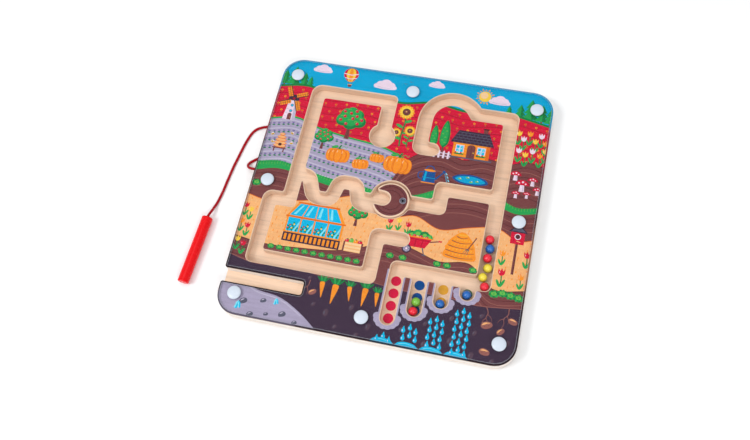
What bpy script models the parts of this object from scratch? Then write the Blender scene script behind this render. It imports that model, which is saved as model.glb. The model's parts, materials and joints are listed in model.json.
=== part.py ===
"""Ball maze: a routed wooden board on a back panel, under a clear cover held by eight
two-piece rivets, with ten balls, a turning gate disc and a magnet wand on a cord.

Metres, +Z up. The board is laid out from its own middle, with the table at zero height.
"""
import math

import bmesh
import bpy
from mathutils import Vector
from mathutils.geometry import delaunay_2d_cdt

MM = 0.001

# Board and its layers, from the table up
BOARD_WIDTH = 300 * MM
BOARD_DEPTH = 300 * MM
BOARD_CORNER_RADIUS = 22 * MM
BACK_THICKNESS = 2.6 * MM
MAZE_THICKNESS = 10.2 * MM
COVER_THICKNESS = 1.9 * MM

# Working clearances
SEAT_GAP = 0.3 * MM
OVERRUN = 2 * MM
WELD = 0.001 * MM

# Lanes that the balls run in
LANE_WIDTH = 14.2 * MM
LANE_EDGE_CHAMFER = 0.9 * MM
LANE_CORNER_RADIUS = 2.4 * MM
START_CHAMBER_RADIUS = 13.4 * MM
GATE_POCKET_RADIUS = 21 * MM
GATE_MOUTH_WIDTH = 9.4 * MM

# Places of the lanes' middle lines, as shares of half the board
LANE_X_SHARES = {
    "outer_left": -0.835, "left": -0.697, "start": -0.161, "stem": -0.032,
    "stem_end": 0.139, "arch_leg": 0.118, "hook_end": 0.209, "gate_leg": 0.335,
    "right": 0.723, "mouth": -0.2,
}
LANE_Y_SHARES = {
    "top": 0.76, "arch": 0.667, "start": 0.475, "hook": 0.428, "upper": 0.141, "gate": 0,
    "mouth": -0.014, "jog": -0.129, "stem_top": -0.274, "slots": -0.479, "bottom": -0.569,
}
WAVE_SHARES = (
    (-0.697, 0.075), (-0.6, 0.075), (-0.537, -0.078), (-0.413, -0.078),
    (-0.377, 0.071), (-0.257, 0.071), (-0.213, -0.07), (0, -0.07),
)

# Bends of the lanes, each the radius of the outer wall
TOP_LEFT_BEND = 10.5 * MM
START_BEND = 5 * MM
JOG_BEND = 4 * MM
SHOULDER_BEND = 10 * MM
FLOOR_BEND = 6 * MM
STEM_BEND = 8 * MM
HOOK_BEND = 12 * MM
TOP_RIGHT_BEND = 7 * MM
GATE_BEND = 6 * MM
WAVE_BEND = 17.1 * MM
ARCH_RADIUS = 28.2 * MM

# Slots that sort the balls, the first for four balls and each next for one fewer
SLOT_COUNT = 4
SLOT_PITCH_SHARE = 0.16
FIRST_SLOT_SHARE = 0.151
LAST_SLOT_END_SHARE = -0.563
SLOT_STEP = 12.9 * MM

# Groove that stores the wand
GROOVE_Y_SHARE = -0.739
GROOVE_WIDTH = 14.3 * MM
GROOVE_LENGTH = 84 * MM

# Gate disc with its notch and steel eyelet
DISC_SIDE_CLEARANCE = 1.2 * MM
DISC_THICKNESS = 8.8 * MM
DISC_CHAMFER = 1.5 * MM
DISC_LIP_RADIUS = 2.6 * MM
NOTCH_WIDTH = 14.3 * MM
NOTCH_REACH = 8.3 * MM
NOTCH_ANGLE = math.radians(175)
EYELET_REACH = 12.8 * MM
EYELET_ANGLE = math.radians(5)
EYELET_FLANGE_RADIUS = 3.6 * MM
EYELET_FLANGE_THICKNESS = 0.7 * MM
EYELET_BARREL_RADIUS = 2.4 * MM
EYELET_BORE_RADIUS = 1.3 * MM
EYELET_LENGTH = 6 * MM

# Balls, from the foot of each column up: name, place across the lane as a share of the
# play there, then the height of the first as such a share and of the others as a gap share
BALL_DIAMETER = 9.5 * MM
COLUMN_BALLS = (
    ("red_3", 0.68, -0.53), ("yellow_2", -0.77, 0.045), ("yellow_1", 0.68, 0.14),
    ("red_2", -0.13, 0.11), ("blue_1", 0.25, 0.085), ("red_1", -0.47, 0.04),
)
SECOND_SLOT_BALLS = (("red_4", -0.43, -0.34), ("green_1", 0.09, 0.05))
THIRD_SLOT_BALLS = (("blue_2", -0.13, -0.55),)
FOURTH_SLOT_BALLS = (("blue_3", -0.13, -0.1),)

# Rivets: a capped hollow shank from above and a headed pin from below, which is a foot
CAP_RADIUS = 7 * MM
CAP_HEIGHT = 2.3 * MM
CAP_RIM = 0.6 * MM
SHANK_RADIUS = 3 * MM
PIN_RADIUS = 1.7 * MM
PIN_LENGTH = 9 * MM
FOOT_RADIUS = 6 * MM
FOOT_HEIGHT = 2.6 * MM
FOOT_EDGE = 0.5 * MM
RIVET_INSET = 17.5 * MM
RIVET_TOP_INSET = 21.5 * MM
RIVET_MIDDLE_SHARE = -0.013

# Wand, lying beside the board
WAND_RADIUS = 5.5 * MM
WAND_LENGTH = 73 * MM
WAND_WALL = 1.3 * MM
WAND_EDGE = 0.8 * MM
WAND_STAND_OFF = 38.5 * MM
WAND_END_Y = -51.3 * MM
WAND_HEADING = math.radians(-93.4)
PLUG_CAP = 2 * MM
PLUG_SPIGOT = 4 * MM
MAGNET_LENGTH = 15 * MM
WAND_PIVOT_REACH = 2.6 * MM
SWING_PIVOT_REACH = 2.4 * MM

# Cord, its knots and its anchor in the board's left side
CORD_RADIUS = 1.2 * MM
CORD_STEP = 6 * MM
KNOT_RADIUS = 2.6 * MM
ANCHOR_Y = 11 * MM
ANCHOR_INSET = 9 * MM
ANCHOR_HEIGHT = 3.6 * MM
ANCHOR_POCKET_RADIUS = 4 * MM
ANCHOR_POCKET_DEPTH = 6.5 * MM

# The cord's route: out from the board's left edge, along that edge, and height
CORD_ROUTE = [
    (4.2 * MM, 11 * MM, 9.4 * MM),
    (0 * MM, 11 * MM, 9.4 * MM),
    (-3.8 * MM, 11.1 * MM, 9.2 * MM),
    (-7.4 * MM, 11.8 * MM, 8.1 * MM),
    (-10.6 * MM, 13.4 * MM, 6.1 * MM),
    (-12.7 * MM, 15.9 * MM, 4 * MM),
    (-13 * MM, 19 * MM, 2.4 * MM),
    (-11.3 * MM, 22 * MM, 1.6 * MM),
    (-8.4 * MM, 24.6 * MM, 1.4 * MM),
    (-3.6 * MM, 28.4 * MM, 1.35 * MM),
    (8 * MM, 36.4 * MM, 1.35 * MM),
    (22 * MM, 43 * MM, 1.35 * MM),
    (38 * MM, 48 * MM, 1.35 * MM),
    (52 * MM, 55.5 * MM, 1.35 * MM),
    (59.5 * MM, 67 * MM, 1.35 * MM),
    (57 * MM, 79.5 * MM, 1.35 * MM),
    (46 * MM, 87 * MM, 1.35 * MM),
    (32.5 * MM, 86 * MM, 1.35 * MM),
    (19.5 * MM, 79.5 * MM, 1.35 * MM),
    (7 * MM, 72 * MM, 1.35 * MM),
    (-4.8 * MM, 67.5 * MM, 1.35 * MM),
    (-11.3 * MM, 65.1 * MM, 1.35 * MM),
    (-16.5 * MM, 61.7 * MM, 1.35 * MM),
    (-20.3 * MM, 56 * MM, 1.35 * MM),
    (-23.1 * MM, 46.9 * MM, 1.35 * MM),
    (-25 * MM, 37.9 * MM, 1.35 * MM),
    (-27.2 * MM, 24.2 * MM, 1.35 * MM),
    (-29.1 * MM, 12.4 * MM, 1.35 * MM),
    (-30.8 * MM, -2.9 * MM, 1.35 * MM),
    (-32 * MM, -16.1 * MM, 1.35 * MM),
    (-33.3 * MM, -27 * MM, 1.35 * MM),
]
# The last stretch, which lifts off the table to the wand
LEAD_ROUTE = [
    (-33.3 * MM, -27.3 * MM, 1.35 * MM),
    (-33.9 * MM, -32.5 * MM, 1.5 * MM),
    (-34.8 * MM, -37.5 * MM, 2.5 * MM),
    (-36.3 * MM, -42 * MM, 4.2 * MM),
    (-37.9 * MM, -46.2 * MM, 5.3 * MM),
]

# Facets
ARC_STEP = math.radians(15)
CORNER_STEP = math.radians(22.5)
POCKET_STEP = math.radians(7.5)
SHARP_TURN = math.radians(24)
STRAIGHT_TURN = math.radians(0.5)
ROUND_SIDES = 16
BALL_SIDES = 16
BALL_RINGS = 9
DOME_RINGS = 3
KNOT_RINGS = 6
ROUTE_DIVISIONS = 12
SIDE_LIMIT_SHARE = 0.49
STEP_SLACK = 0.01
LEAST_FACET = 0.4 * MM
SMOOTH_ANGLE = math.radians(35)
CORD_BEVEL_RINGS = 2

# Worked out from the sizes above
HALF_WIDTH = BOARD_WIDTH / 2
HALF_DEPTH = BOARD_DEPTH / 2
BACK_BOTTOM = FOOT_HEIGHT + SEAT_GAP
FLOOR = BACK_BOTTOM + BACK_THICKNESS
MAZE_BOTTOM = FLOOR + SEAT_GAP
MAZE_TOP = MAZE_BOTTOM + MAZE_THICKNESS
COVER_BOTTOM = MAZE_TOP + SEAT_GAP
COVER_TOP = COVER_BOTTOM + COVER_THICKNESS
ROUND_STEP = math.tau / ROUND_SIDES
BALL_RADIUS = BALL_DIAMETER / 2
SIDE_PLAY = LANE_WIDTH / 2 - BALL_RADIUS
LANE_X = {name: share * HALF_WIDTH for name, share in LANE_X_SHARES.items()}
LANE_Y = {name: share * HALF_DEPTH for name, share in LANE_Y_SHARES.items()}


def clear_scene():
    """Remove the objects that the file opened with."""
    for thing in list(bpy.data.objects):
        bpy.data.objects.remove(thing, do_unlink=True)


def material(name, colour, roughness, metallic=0, transmission=0):
    """A plain Principled finish."""
    finish = bpy.data.materials.new(name)
    finish.use_nodes = True
    shader = finish.node_tree.nodes["Principled BSDF"]
    shader.inputs["Base Color"].default_value = (*colour, 1)
    shader.inputs["Roughness"].default_value = roughness
    shader.inputs["Metallic"].default_value = metallic
    shader.inputs["Transmission Weight"].default_value = transmission
    return finish


def add_object(name, mesh, finish, parent=None, smooth=True):
    """Turn a bmesh into a named object with one material."""
    bmesh.ops.remove_doubles(mesh, verts=mesh.verts, dist=WELD)
    bmesh.ops.recalc_face_normals(mesh, faces=mesh.faces)
    data = bpy.data.meshes.new(name)
    mesh.to_mesh(data)
    mesh.free()
    data.materials.append(finish)
    if smooth:
        data.shade_smooth()
        data.set_sharp_from_angle(angle=SMOOTH_ANGLE)
    thing = bpy.data.objects.new(name, data)
    bpy.context.scene.collection.objects.link(thing)
    thing.parent = parent
    return thing


def add_empty(name, place, parent=None):
    """An empty that carries pieces."""
    empty = bpy.data.objects.new(name, None)
    empty.location = place
    empty.parent = parent
    bpy.context.scene.collection.objects.link(empty)
    return empty


# Plan shapes

def arc(centre, radius, start, end, step=ARC_STEP):
    """Points along an arc from one angle to the other, both ends included."""
    count = max(1, math.ceil(abs(end - start) / step - STEP_SLACK))
    angles = [start + (end - start) * index / count for index in range(count + 1)]
    return [centre + radius * Vector((math.cos(angle), math.sin(angle))) for angle in angles]


def circle(centre, radius, step=ARC_STEP):
    """A closed circle, counter-clockwise."""
    return arc(centre, radius, 0, math.tau, step)[:-1]


def turn_at(before, here, after):
    """How far a path turns at a point, positive to the left."""
    into = here - before
    out = after - here
    return math.atan2(into.x * out.y - into.y * out.x, into.dot(out))


def round_off(start, corner, end, step=ARC_STEP):
    """The arc from start to end that follows both sides of the corner between them."""
    turn = abs(turn_at(start, corner, end))
    weight = math.cos(turn / 2)
    count = max(1, math.ceil(turn / step - STEP_SLACK))
    points = []
    for index in range(count + 1):
        t = index / count
        shares = ((1 - t) ** 2, 2 * t * (1 - t) * weight, t ** 2)
        points.append((shares[0] * start + shares[1] * corner + shares[2] * end) / sum(shares))
    return points


def fillet(before, here, after, radius):
    """One corner rounded by a radius, kept within the sides that meet there."""
    shorter = min((here - before).length, (after - here).length)
    reach = min(radius * math.tan(abs(turn_at(before, here, after)) / 2), shorter * SIDE_LIMIT_SHARE)
    return round_off(
        here + (before - here).normalized() * reach, here, here + (after - here).normalized() * reach)


def offset_path(points, distance, closed=False):
    """A path moved to its left by a distance, with mitred corners."""
    moved = []
    last = len(points) - 1
    for index, here in enumerate(points):
        before = points[index - 1] if closed or index > 0 else None
        after = points[(index + 1) % len(points)] if closed or index < last else None
        into = (here - before).normalized() if before is not None else (after - here).normalized()
        out = (after - here).normalized() if after is not None else into
        normal = Vector((-into.y - out.y, into.x + out.x)) / (1 + into.dot(out))
        moved.append(here + normal * distance)
    return moved


def lane(points, width, bends=(), round_start=False, round_end=False):
    """The outline of a lane along a path. Each bend is its outer wall's radius."""
    half = width / 2
    sides = []
    for distance in (half, -half):
        moved = offset_path(points, distance)
        side = [moved[0]]
        for index in range(1, len(moved) - 1):
            turn = turn_at(*points[index - 1:index + 2])
            outer = turn * distance < 0
            if index <= len(bends) and bends[index - 1] and outer:
                side += fillet(*moved[index - 1:index + 2], bends[index - 1])
            else:
                side.append(moved[index])
        sides.append(side + [moved[-1]])
    left, right = sides
    outline = list(right)
    if round_end:
        heading = points[-1] - points[-2]
        angle = math.atan2(heading.y, heading.x)
        outline += arc(points[-1], half, angle - math.pi / 2, angle + math.pi / 2)[1:-1]
    outline += reversed(left)
    if round_start:
        heading = points[0] - points[1]
        angle = math.atan2(heading.y, heading.x)
        outline += arc(points[0], half, angle - math.pi / 2, angle + math.pi / 2)[1:-1]
    return outline


def triangles_of(polygons):
    """All polygons cut against each other into triangles, each with the polygons it lies in."""
    points = []
    faces = []
    for polygon in polygons:
        faces.append(list(range(len(points), len(points) + len(polygon))))
        points += polygon
    made, _, triangles, _, _, sources = delaunay_2d_cdt(points, [], faces, 1, WELD)
    return made, [(tri, set(source)) for tri, source in zip(triangles, sources)]


def region(solids, cuts=()):
    """The closed outlines of the joined solids less the cuts, the longest first."""
    made, triangles = triangles_of(list(solids) + list(cuts))
    first_cut = len(solids)
    kept = [tri for tri, source in triangles if source and max(source) < first_cut]
    edges = set()
    for tri in kept:
        for start, end in zip(tri, tri[1:] + tri[:1]):
            if (end, start) in edges:
                edges.remove((end, start))
            else:
                edges.add((start, end))
    following = dict(edges)
    loops = []
    while following:
        start, here = following.popitem()
        loop = [start]
        while here != start:
            loop.append(here)
            here = following.pop(here)
        loops.append([Vector(made[index]) for index in loop])
    return sorted((without_straights(loop) for loop in loops), key=len, reverse=True)


def without_straights(loop):
    """A loop less the points that lie on a straight side."""
    count = len(loop)
    return [
        here for index, here in enumerate(loop)
        if abs(turn_at(loop[index - 1], here, loop[(index + 1) % count])) > STRAIGHT_TURN
    ]


def soften(loop, radius):
    """Round every sharp corner of a loop, back along its sides as far as the radius needs."""
    count = len(loop)
    turns = [abs(turn_at(loop[index - 1], loop[index], loop[(index + 1) % count])) for index in range(count)]
    sharp = {index for index in range(count) if turns[index] > SHARP_TURN}
    kept = dict(enumerate([point] for point in loop))
    for corner in sharp:
        ends = []
        for step in (-1, 1):
            reach = radius * math.tan(turns[corner] / 2)
            index = corner
            while True:
                following = (index + step) % count
                side = loop[following] - loop[index]
                room = side.length * (SIDE_LIMIT_SHARE if following in sharp else 1)
                if reach < room or following in sharp:
                    ends.append(loop[index] + side.normalized() * min(reach, room))
                    break
                reach -= room
                kept[following] = []
                index = following
        kept[corner] = round_off(ends[0], loop[corner], ends[1], CORNER_STEP)
    return without_crowding([point for index in range(count) for point in kept[index]])


def without_crowding(loop):
    """A loop less the points that nearly touch the one before."""
    spaced = []
    for here in loop:
        if not spaced or (here - spaced[-1]).length > LEAST_FACET:
            spaced.append(here)
    return spaced


# Solids

def add_wall(mesh, rings):
    """Faces between closed rings of points, one ring after the other."""
    rows = [[mesh.verts.new(point) for point in ring] for ring in rings]
    for lower, upper in zip(rows, rows[1:]):
        count = len(lower)
        for index in range(count):
            after = (index + 1) % count
            mesh.faces.new((lower[index], lower[after], upper[after], upper[index]))


def add_cap(mesh, loops, height):
    """The flat face inside the first loop and outside the others."""
    made, triangles = triangles_of(loops)
    corners = [mesh.verts.new((*point, height)) for point in made]
    for tri, source in triangles:
        if source == {0}:
            mesh.faces.new([corners[index] for index in tri])


def plate(name, loops, bottom, top, finish, chamfers=None, parent=None):
    """A plate with an outline and holes, drawn at its top face. Below a chamfer the wall stands out by it."""
    mesh = bmesh.new()
    lower_loops = []
    for index, loop in enumerate(loops):
        chamfer = chamfers[index] if chamfers else 0
        out_of_solid = -chamfer if index == 0 else chamfer
        lower = offset_path(loop, out_of_solid, closed=True) if chamfer else loop
        rings = [[(*point, bottom) for point in lower], [(*point, top) for point in loop]]
        if chamfer:
            rings.insert(1, [(*point, top - chamfer) for point in lower])
        add_wall(mesh, rings)
        lower_loops.append(lower)
    add_cap(mesh, lower_loops, bottom)
    add_cap(mesh, loops, top)
    return add_object(name, mesh, finish, parent, smooth=False)


def turned(name, profile, finish, parent=None):
    """A solid turned round the Z axis, from (radius, height) points."""
    mesh = bmesh.new()
    spokes = circle(Vector((0, 0)), 1, ROUND_STEP)
    rows = []
    for radius, height in profile:
        if radius == 0:
            rows.append([mesh.verts.new((0, 0, height))])
        else:
            rows.append([mesh.verts.new((*(radius * spoke), height)) for spoke in spokes])
    closed = profile[0][0] > 0
    pairs = zip(rows, rows[1:] + rows[:1]) if closed else zip(rows, rows[1:])
    for lower, upper in pairs:
        for index in range(len(spokes)):
            after = (index + 1) % len(spokes)
            quad = [lower[index % len(lower)], lower[after % len(lower)],
                    upper[after % len(upper)], upper[index % len(upper)]]
            mesh.faces.new(list(dict.fromkeys(quad)))
    return add_object(name, mesh, finish, parent)


def cut(target, cutter):
    """Take one solid out of another."""
    cutter.hide_render = True
    cutter.display_type = "WIRE"
    modifier = target.modifiers.new(cutter.name, "BOOLEAN")
    modifier.operation = "DIFFERENCE"
    modifier.solver = "EXACT"
    modifier.object = cutter


# The maze's plan

def at(column, row):
    """Where a column and a row of the lanes cross."""
    return Vector((LANE_X[column], LANE_Y[row]))


def rim(points, width, bends=(), round_start=False, round_end=False):
    """A lane's outline at the board's face, where its chamfered edge makes it wider."""
    wider = [bend + LANE_EDGE_CHAMFER if bend else 0 for bend in bends]
    return lane(points, width + 2 * LANE_EDGE_CHAMFER, wider, round_start, round_end)


def slot_places():
    """The lower end of each sorting slot, from the deepest to the shallowest."""
    places = []
    for index in range(SLOT_COUNT):
        across = (FIRST_SLOT_SHARE + SLOT_PITCH_SHARE * index) * HALF_WIDTH
        end = LAST_SLOT_END_SHARE * HALF_DEPTH - SLOT_STEP * (SLOT_COUNT - 1 - index)
        places.append(Vector((across, end)))
    return places


def west_lane():
    """From the start chamber round the left half to the dead end below the gate."""
    path = [
        at("start", "start"), at("start", "top"), at("left", "top"), at("left", "jog"),
        at("outer_left", "jog"), at("outer_left", "bottom"), at("stem", "bottom"),
        at("stem", "stem_top"), at("stem_end", "stem_top"),
    ]
    bends = (START_BEND, TOP_LEFT_BEND, JOG_BEND, SHOULDER_BEND, FLOOR_BEND, FLOOR_BEND, STEM_BEND)
    return rim(path, LANE_WIDTH, bends, round_end=True)


def wave_lane():
    """The winding lane from the left lane to the gate."""
    points = [Vector((x * HALF_WIDTH, y * HALF_DEPTH)) for x, y in WAVE_SHARES]
    return rim(points, LANE_WIDTH, [WAVE_BEND] * len(points))


def gate_mouth():
    """The wider opening where the wave meets the gate pocket."""
    return rim([at("mouth", "mouth"), Vector((0, LANE_Y["mouth"]))], GATE_MOUTH_WIDTH)


def exit_lane():
    """From the gate to the right lane."""
    path = [Vector((0, LANE_Y["gate"]))]
    path += [at("gate_leg", "gate"), at("gate_leg", "upper"), at("right", "upper")]
    return rim(path, LANE_WIDTH, (GATE_BEND, GATE_BEND))


def east_lane():
    """From the hooked dead end over the arch, down the right side and along to the first slot."""
    leg_top = at("arch_leg", "arch")
    centre = leg_top + Vector((ARCH_RADIUS, 0))
    arch_end = math.asin((LANE_Y["top"] - LANE_Y["arch"]) / ARCH_RADIUS)
    arch = arc(centre, ARCH_RADIUS, math.pi, arch_end)
    first_slot = slot_places()[0]
    path = [at("hook_end", "hook"), at("arch_leg", "hook")] + arch
    path += [at("right", "top"), at("right", "slots"), Vector((first_slot.x, LANE_Y["slots"])), first_slot]
    bends = [HOOK_BEND] + [0] * len(arch) + [TOP_RIGHT_BEND, GATE_BEND, FLOOR_BEND]
    return rim(path, LANE_WIDTH, bends, round_start=True, round_end=True)


def slot_lanes():
    """The slots after the first, down from the cross lane."""
    return [
        rim([Vector((place.x, LANE_Y["slots"])), place], LANE_WIDTH, round_end=True)
        for place in slot_places()[1:]
    ]


def lanes_outline():
    """The one closed outline, at the board's face, of all lanes, the chamber and the gate pocket."""
    shapes = [west_lane(), wave_lane(), gate_mouth(), exit_lane(), east_lane()]
    shapes += slot_lanes()
    shapes.append(circle(at("start", "start"), START_CHAMBER_RADIUS + LANE_EDGE_CHAMFER))
    shapes.append(circle(Vector((0, 0)), GATE_POCKET_RADIUS + LANE_EDGE_CHAMFER, POCKET_STEP))
    return soften(region(shapes)[0], LANE_CORNER_RADIUS - LANE_EDGE_CHAMFER)


def board_outline():
    """The board's outline with round corners."""
    corners = [
        Vector((-HALF_WIDTH, -HALF_DEPTH)), Vector((HALF_WIDTH, -HALF_DEPTH)),
        Vector((HALF_WIDTH, HALF_DEPTH)), Vector((-HALF_WIDTH, HALF_DEPTH)),
    ]
    outline = []
    for index, corner in enumerate(corners):
        following = corners[(index + 1) % len(corners)]
        outline += fillet(corners[index - 1], corner, following, BOARD_CORNER_RADIUS)
    return outline


def grooved_outline():
    """The board's outline with the wand's groove let into its left side."""
    middle = GROOVE_Y_SHARE * HALF_DEPTH
    mouth = Vector((-HALF_WIDTH - OVERRUN, middle))
    end = Vector((-HALF_WIDTH + GROOVE_LENGTH, middle))
    groove = lane([mouth, end], GROOVE_WIDTH)
    return soften(region([board_outline()], [groove])[0], LANE_CORNER_RADIUS)


def rivet_places():
    """Two rows of three rivets and one on each side."""
    across = HALF_WIDTH - RIVET_INSET
    along = HALF_DEPTH - RIVET_TOP_INSET
    middle = RIVET_MIDDLE_SHARE * HALF_WIDTH
    places = [(x, y) for y in (along, -along) for x in (-across, middle, across)]
    places += [(x, RIVET_MIDDLE_SHARE * HALF_DEPTH) for x in (-across, across)]
    return [Vector(place) for place in places]


# The pieces

def build_board(wood, print_wood, clear, root):
    """The three plates of the board and the cord's anchor in the maze panel."""
    holes = [circle(place, SHANK_RADIUS + SEAT_GAP, ROUND_STEP) for place in rivet_places()]
    outline = grooved_outline()
    plate("back_panel", [board_outline()] + holes, BACK_BOTTOM, FLOOR, wood, parent=root)
    maze = plate(
        "maze_panel", [outline, lanes_outline()] + holes, MAZE_BOTTOM, MAZE_TOP, print_wood,
        [0, LANE_EDGE_CHAMFER] + [0] * len(holes), root)
    plate("cover", [outline] + holes, COVER_BOTTOM, COVER_TOP, clear, parent=root)
    anchor_x = -HALF_WIDTH + ANCHOR_INSET
    pocket_profile = [
        (0, -OVERRUN), (ANCHOR_POCKET_RADIUS, -OVERRUN),
        (ANCHOR_POCKET_RADIUS, ANCHOR_POCKET_DEPTH), (0, ANCHOR_POCKET_DEPTH),
    ]
    pocket = turned("anchor_pocket_cutter", pocket_profile, wood, root)
    pocket.location = (anchor_x, ANCHOR_Y, MAZE_BOTTOM)
    bore_radius = CORD_RADIUS + SEAT_GAP
    bore_end = ANCHOR_INSET + OVERRUN
    bore_profile = [(0, 0), (bore_radius, 0), (bore_radius, bore_end), (0, bore_end)]
    bore = turned("anchor_bore_cutter", bore_profile, wood, root)
    bore.location = (anchor_x, ANCHOR_Y, MAZE_BOTTOM + ANCHOR_HEIGHT)
    bore.rotation_euler = (0, -math.pi / 2, 0)
    cut(maze, pocket)
    cut(maze, bore)


def build_rivets(plastic, root):
    """The caps with their hollow shanks, and the feet with their pins."""
    shank = COVER_TOP + SEAT_GAP - BACK_BOTTOM
    bore = PIN_RADIUS + SEAT_GAP
    bore_top = FOOT_HEIGHT + PIN_LENGTH - COVER_TOP
    crown = CAP_HEIGHT - CAP_RIM
    dome = [
        (CAP_RADIUS * math.cos(angle), CAP_RIM + crown * math.sin(angle))
        for angle in [math.pi / 2 * index / (DOME_RINGS + 1) for index in range(DOME_RINGS + 1)]
    ]
    cap_profile = [(0, bore_top), (bore, bore_top), (bore, -shank), (SHANK_RADIUS, -shank), (SHANK_RADIUS, 0)]
    cap_profile += [(CAP_RADIUS, 0)] + dome + [(0, CAP_HEIGHT)]
    foot_profile = [
        (0, 0), (FOOT_RADIUS - FOOT_EDGE, 0), (FOOT_RADIUS, FOOT_EDGE), (FOOT_RADIUS, FOOT_HEIGHT),
        (PIN_RADIUS, FOOT_HEIGHT), (PIN_RADIUS, FOOT_HEIGHT + PIN_LENGTH), (0, FOOT_HEIGHT + PIN_LENGTH),
    ]
    for number, place in enumerate(rivet_places(), start=1):
        cap = turned(f"rivet_cap_{number}", cap_profile, plastic, root)
        cap.location = (*place, COVER_TOP + SEAT_GAP)
        foot = turned(f"rivet_foot_{number}", foot_profile, plastic, root)
        foot.location = (*place, 0)


def build_gate(wood, steel, root):
    """The gate disc, loose in its pocket, and its eyelet. Both turn about the pocket's middle."""
    gate = add_empty("gate_axis", (0, 0, FLOOR + SEAT_GAP), root)
    middle = Vector((0, 0))
    notch_end = NOTCH_REACH * Vector((math.cos(NOTCH_ANGLE), math.sin(NOTCH_ANGLE)))
    notch_mouth = notch_end * (GATE_POCKET_RADIUS / NOTCH_REACH)
    notch = lane([notch_end, notch_mouth], NOTCH_WIDTH + 2 * DISC_CHAMFER, round_start=True)
    face = circle(middle, GATE_POCKET_RADIUS - DISC_SIDE_CLEARANCE - DISC_CHAMFER, POCKET_STEP)
    outline = soften(region([face], [notch])[0], DISC_LIP_RADIUS - DISC_CHAMFER)
    eyelet_place = EYELET_REACH * Vector((math.cos(EYELET_ANGLE), math.sin(EYELET_ANGLE)))
    hole = circle(eyelet_place, EYELET_BARREL_RADIUS + SEAT_GAP, ROUND_STEP)
    plate("gate_disc", [outline, hole], 0, DISC_THICKNESS, wood, [DISC_CHAMFER, 0], gate)
    profile = [
        (EYELET_BORE_RADIUS, EYELET_FLANGE_THICKNESS), (EYELET_BORE_RADIUS, -EYELET_LENGTH),
        (EYELET_BARREL_RADIUS, -EYELET_LENGTH), (EYELET_BARREL_RADIUS, 0), (EYELET_FLANGE_RADIUS, 0),
        (EYELET_FLANGE_RADIUS - EYELET_FLANGE_THICKNESS, EYELET_FLANGE_THICKNESS),
    ]
    eyelet = turned("gate_eyelet", profile, steel, gate)
    eyelet.location = (*eyelet_place, DISC_THICKNESS + SEAT_GAP)


def build_balls(colours, root):
    """Six balls stacked at the foot of the right lane and four in the sorting slots."""
    slots = slot_places()
    column_foot = Vector((LANE_X["right"], LANE_Y["slots"]))
    for foot, rows in ((column_foot, COLUMN_BALLS), (slots[1], SECOND_SLOT_BALLS),
                       (slots[2], THIRD_SLOT_BALLS), (slots[3], FOURTH_SLOT_BALLS)):
        below = None
        for name, side_share, rise_share in rows:
            across = foot.x + side_share * SIDE_PLAY
            if below is None:
                place = Vector((across, foot.y + rise_share * SIDE_PLAY))
            else:
                spacing = BALL_DIAMETER * (1 + rise_share)
                rise = math.sqrt(max(0, spacing ** 2 - (across - below.x) ** 2))
                place = Vector((across, below.y + rise))
            mesh = bmesh.new()
            bmesh.ops.create_uvsphere(
                mesh, u_segments=BALL_SIDES, v_segments=BALL_RINGS, radius=BALL_RADIUS)
            ball = add_object(f"ball_{name}", mesh, colours[name.split("_")[0]], root)
            ball.location = (*place, FLOOR + SEAT_GAP + BALL_RADIUS)
            below = place


def knot_profile(centre):
    """The round part of a knot, as (radius, height) points from below to above."""
    angles = [math.pi * index / KNOT_RINGS - math.pi / 2 for index in range(1, KNOT_RINGS)]
    return [(KNOT_RADIUS * math.cos(angle), centre + KNOT_RADIUS * math.sin(angle)) for angle in angles]


def build_wand(red, steel, fibre, pivot):
    """The wand along the pivot's Z axis: barrel, magnet, end plug, and the knot inside."""
    face = WAND_PIVOT_REACH
    tip = face + WAND_LENGTH
    mouth = tip - PLUG_CAP - SEAT_GAP
    inside = WAND_RADIUS - WAND_WALL
    loose = inside - SEAT_GAP
    hole = CORD_RADIUS + SEAT_GAP
    barrel = [
        (hole, face), (WAND_RADIUS - WAND_EDGE, face), (WAND_RADIUS, face + WAND_EDGE),
        (WAND_RADIUS, mouth), (inside, mouth), (inside, face + WAND_WALL), (hole, face + WAND_WALL),
    ]
    spigot = mouth - PLUG_SPIGOT
    plug = [
        (0, spigot), (loose, spigot), (loose, mouth + SEAT_GAP), (WAND_RADIUS, mouth + SEAT_GAP),
        (WAND_RADIUS, tip - WAND_EDGE), (WAND_RADIUS - WAND_EDGE, tip), (0, tip),
    ]
    magnet_end = spigot - SEAT_GAP
    magnet_start = magnet_end - MAGNET_LENGTH
    magnet = [(0, magnet_start), (loose, magnet_start), (loose, magnet_end), (0, magnet_end)]
    knot_centre = face + WAND_WALL + SEAT_GAP + KNOT_RADIUS
    round_part = [
        (radius, height) for radius, height in knot_profile(knot_centre)
        if radius > CORD_RADIUS or height > knot_centre
    ]
    knot = [(0, face), (CORD_RADIUS, face)] + round_part + [(0, knot_centre + KNOT_RADIUS)]
    turned("wand_barrel", barrel, red, pivot)
    turned("wand_plug", plug, red, pivot)
    turned("wand_magnet", magnet, steel, pivot)
    turned("wand_knot", knot, fibre, pivot)


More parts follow.
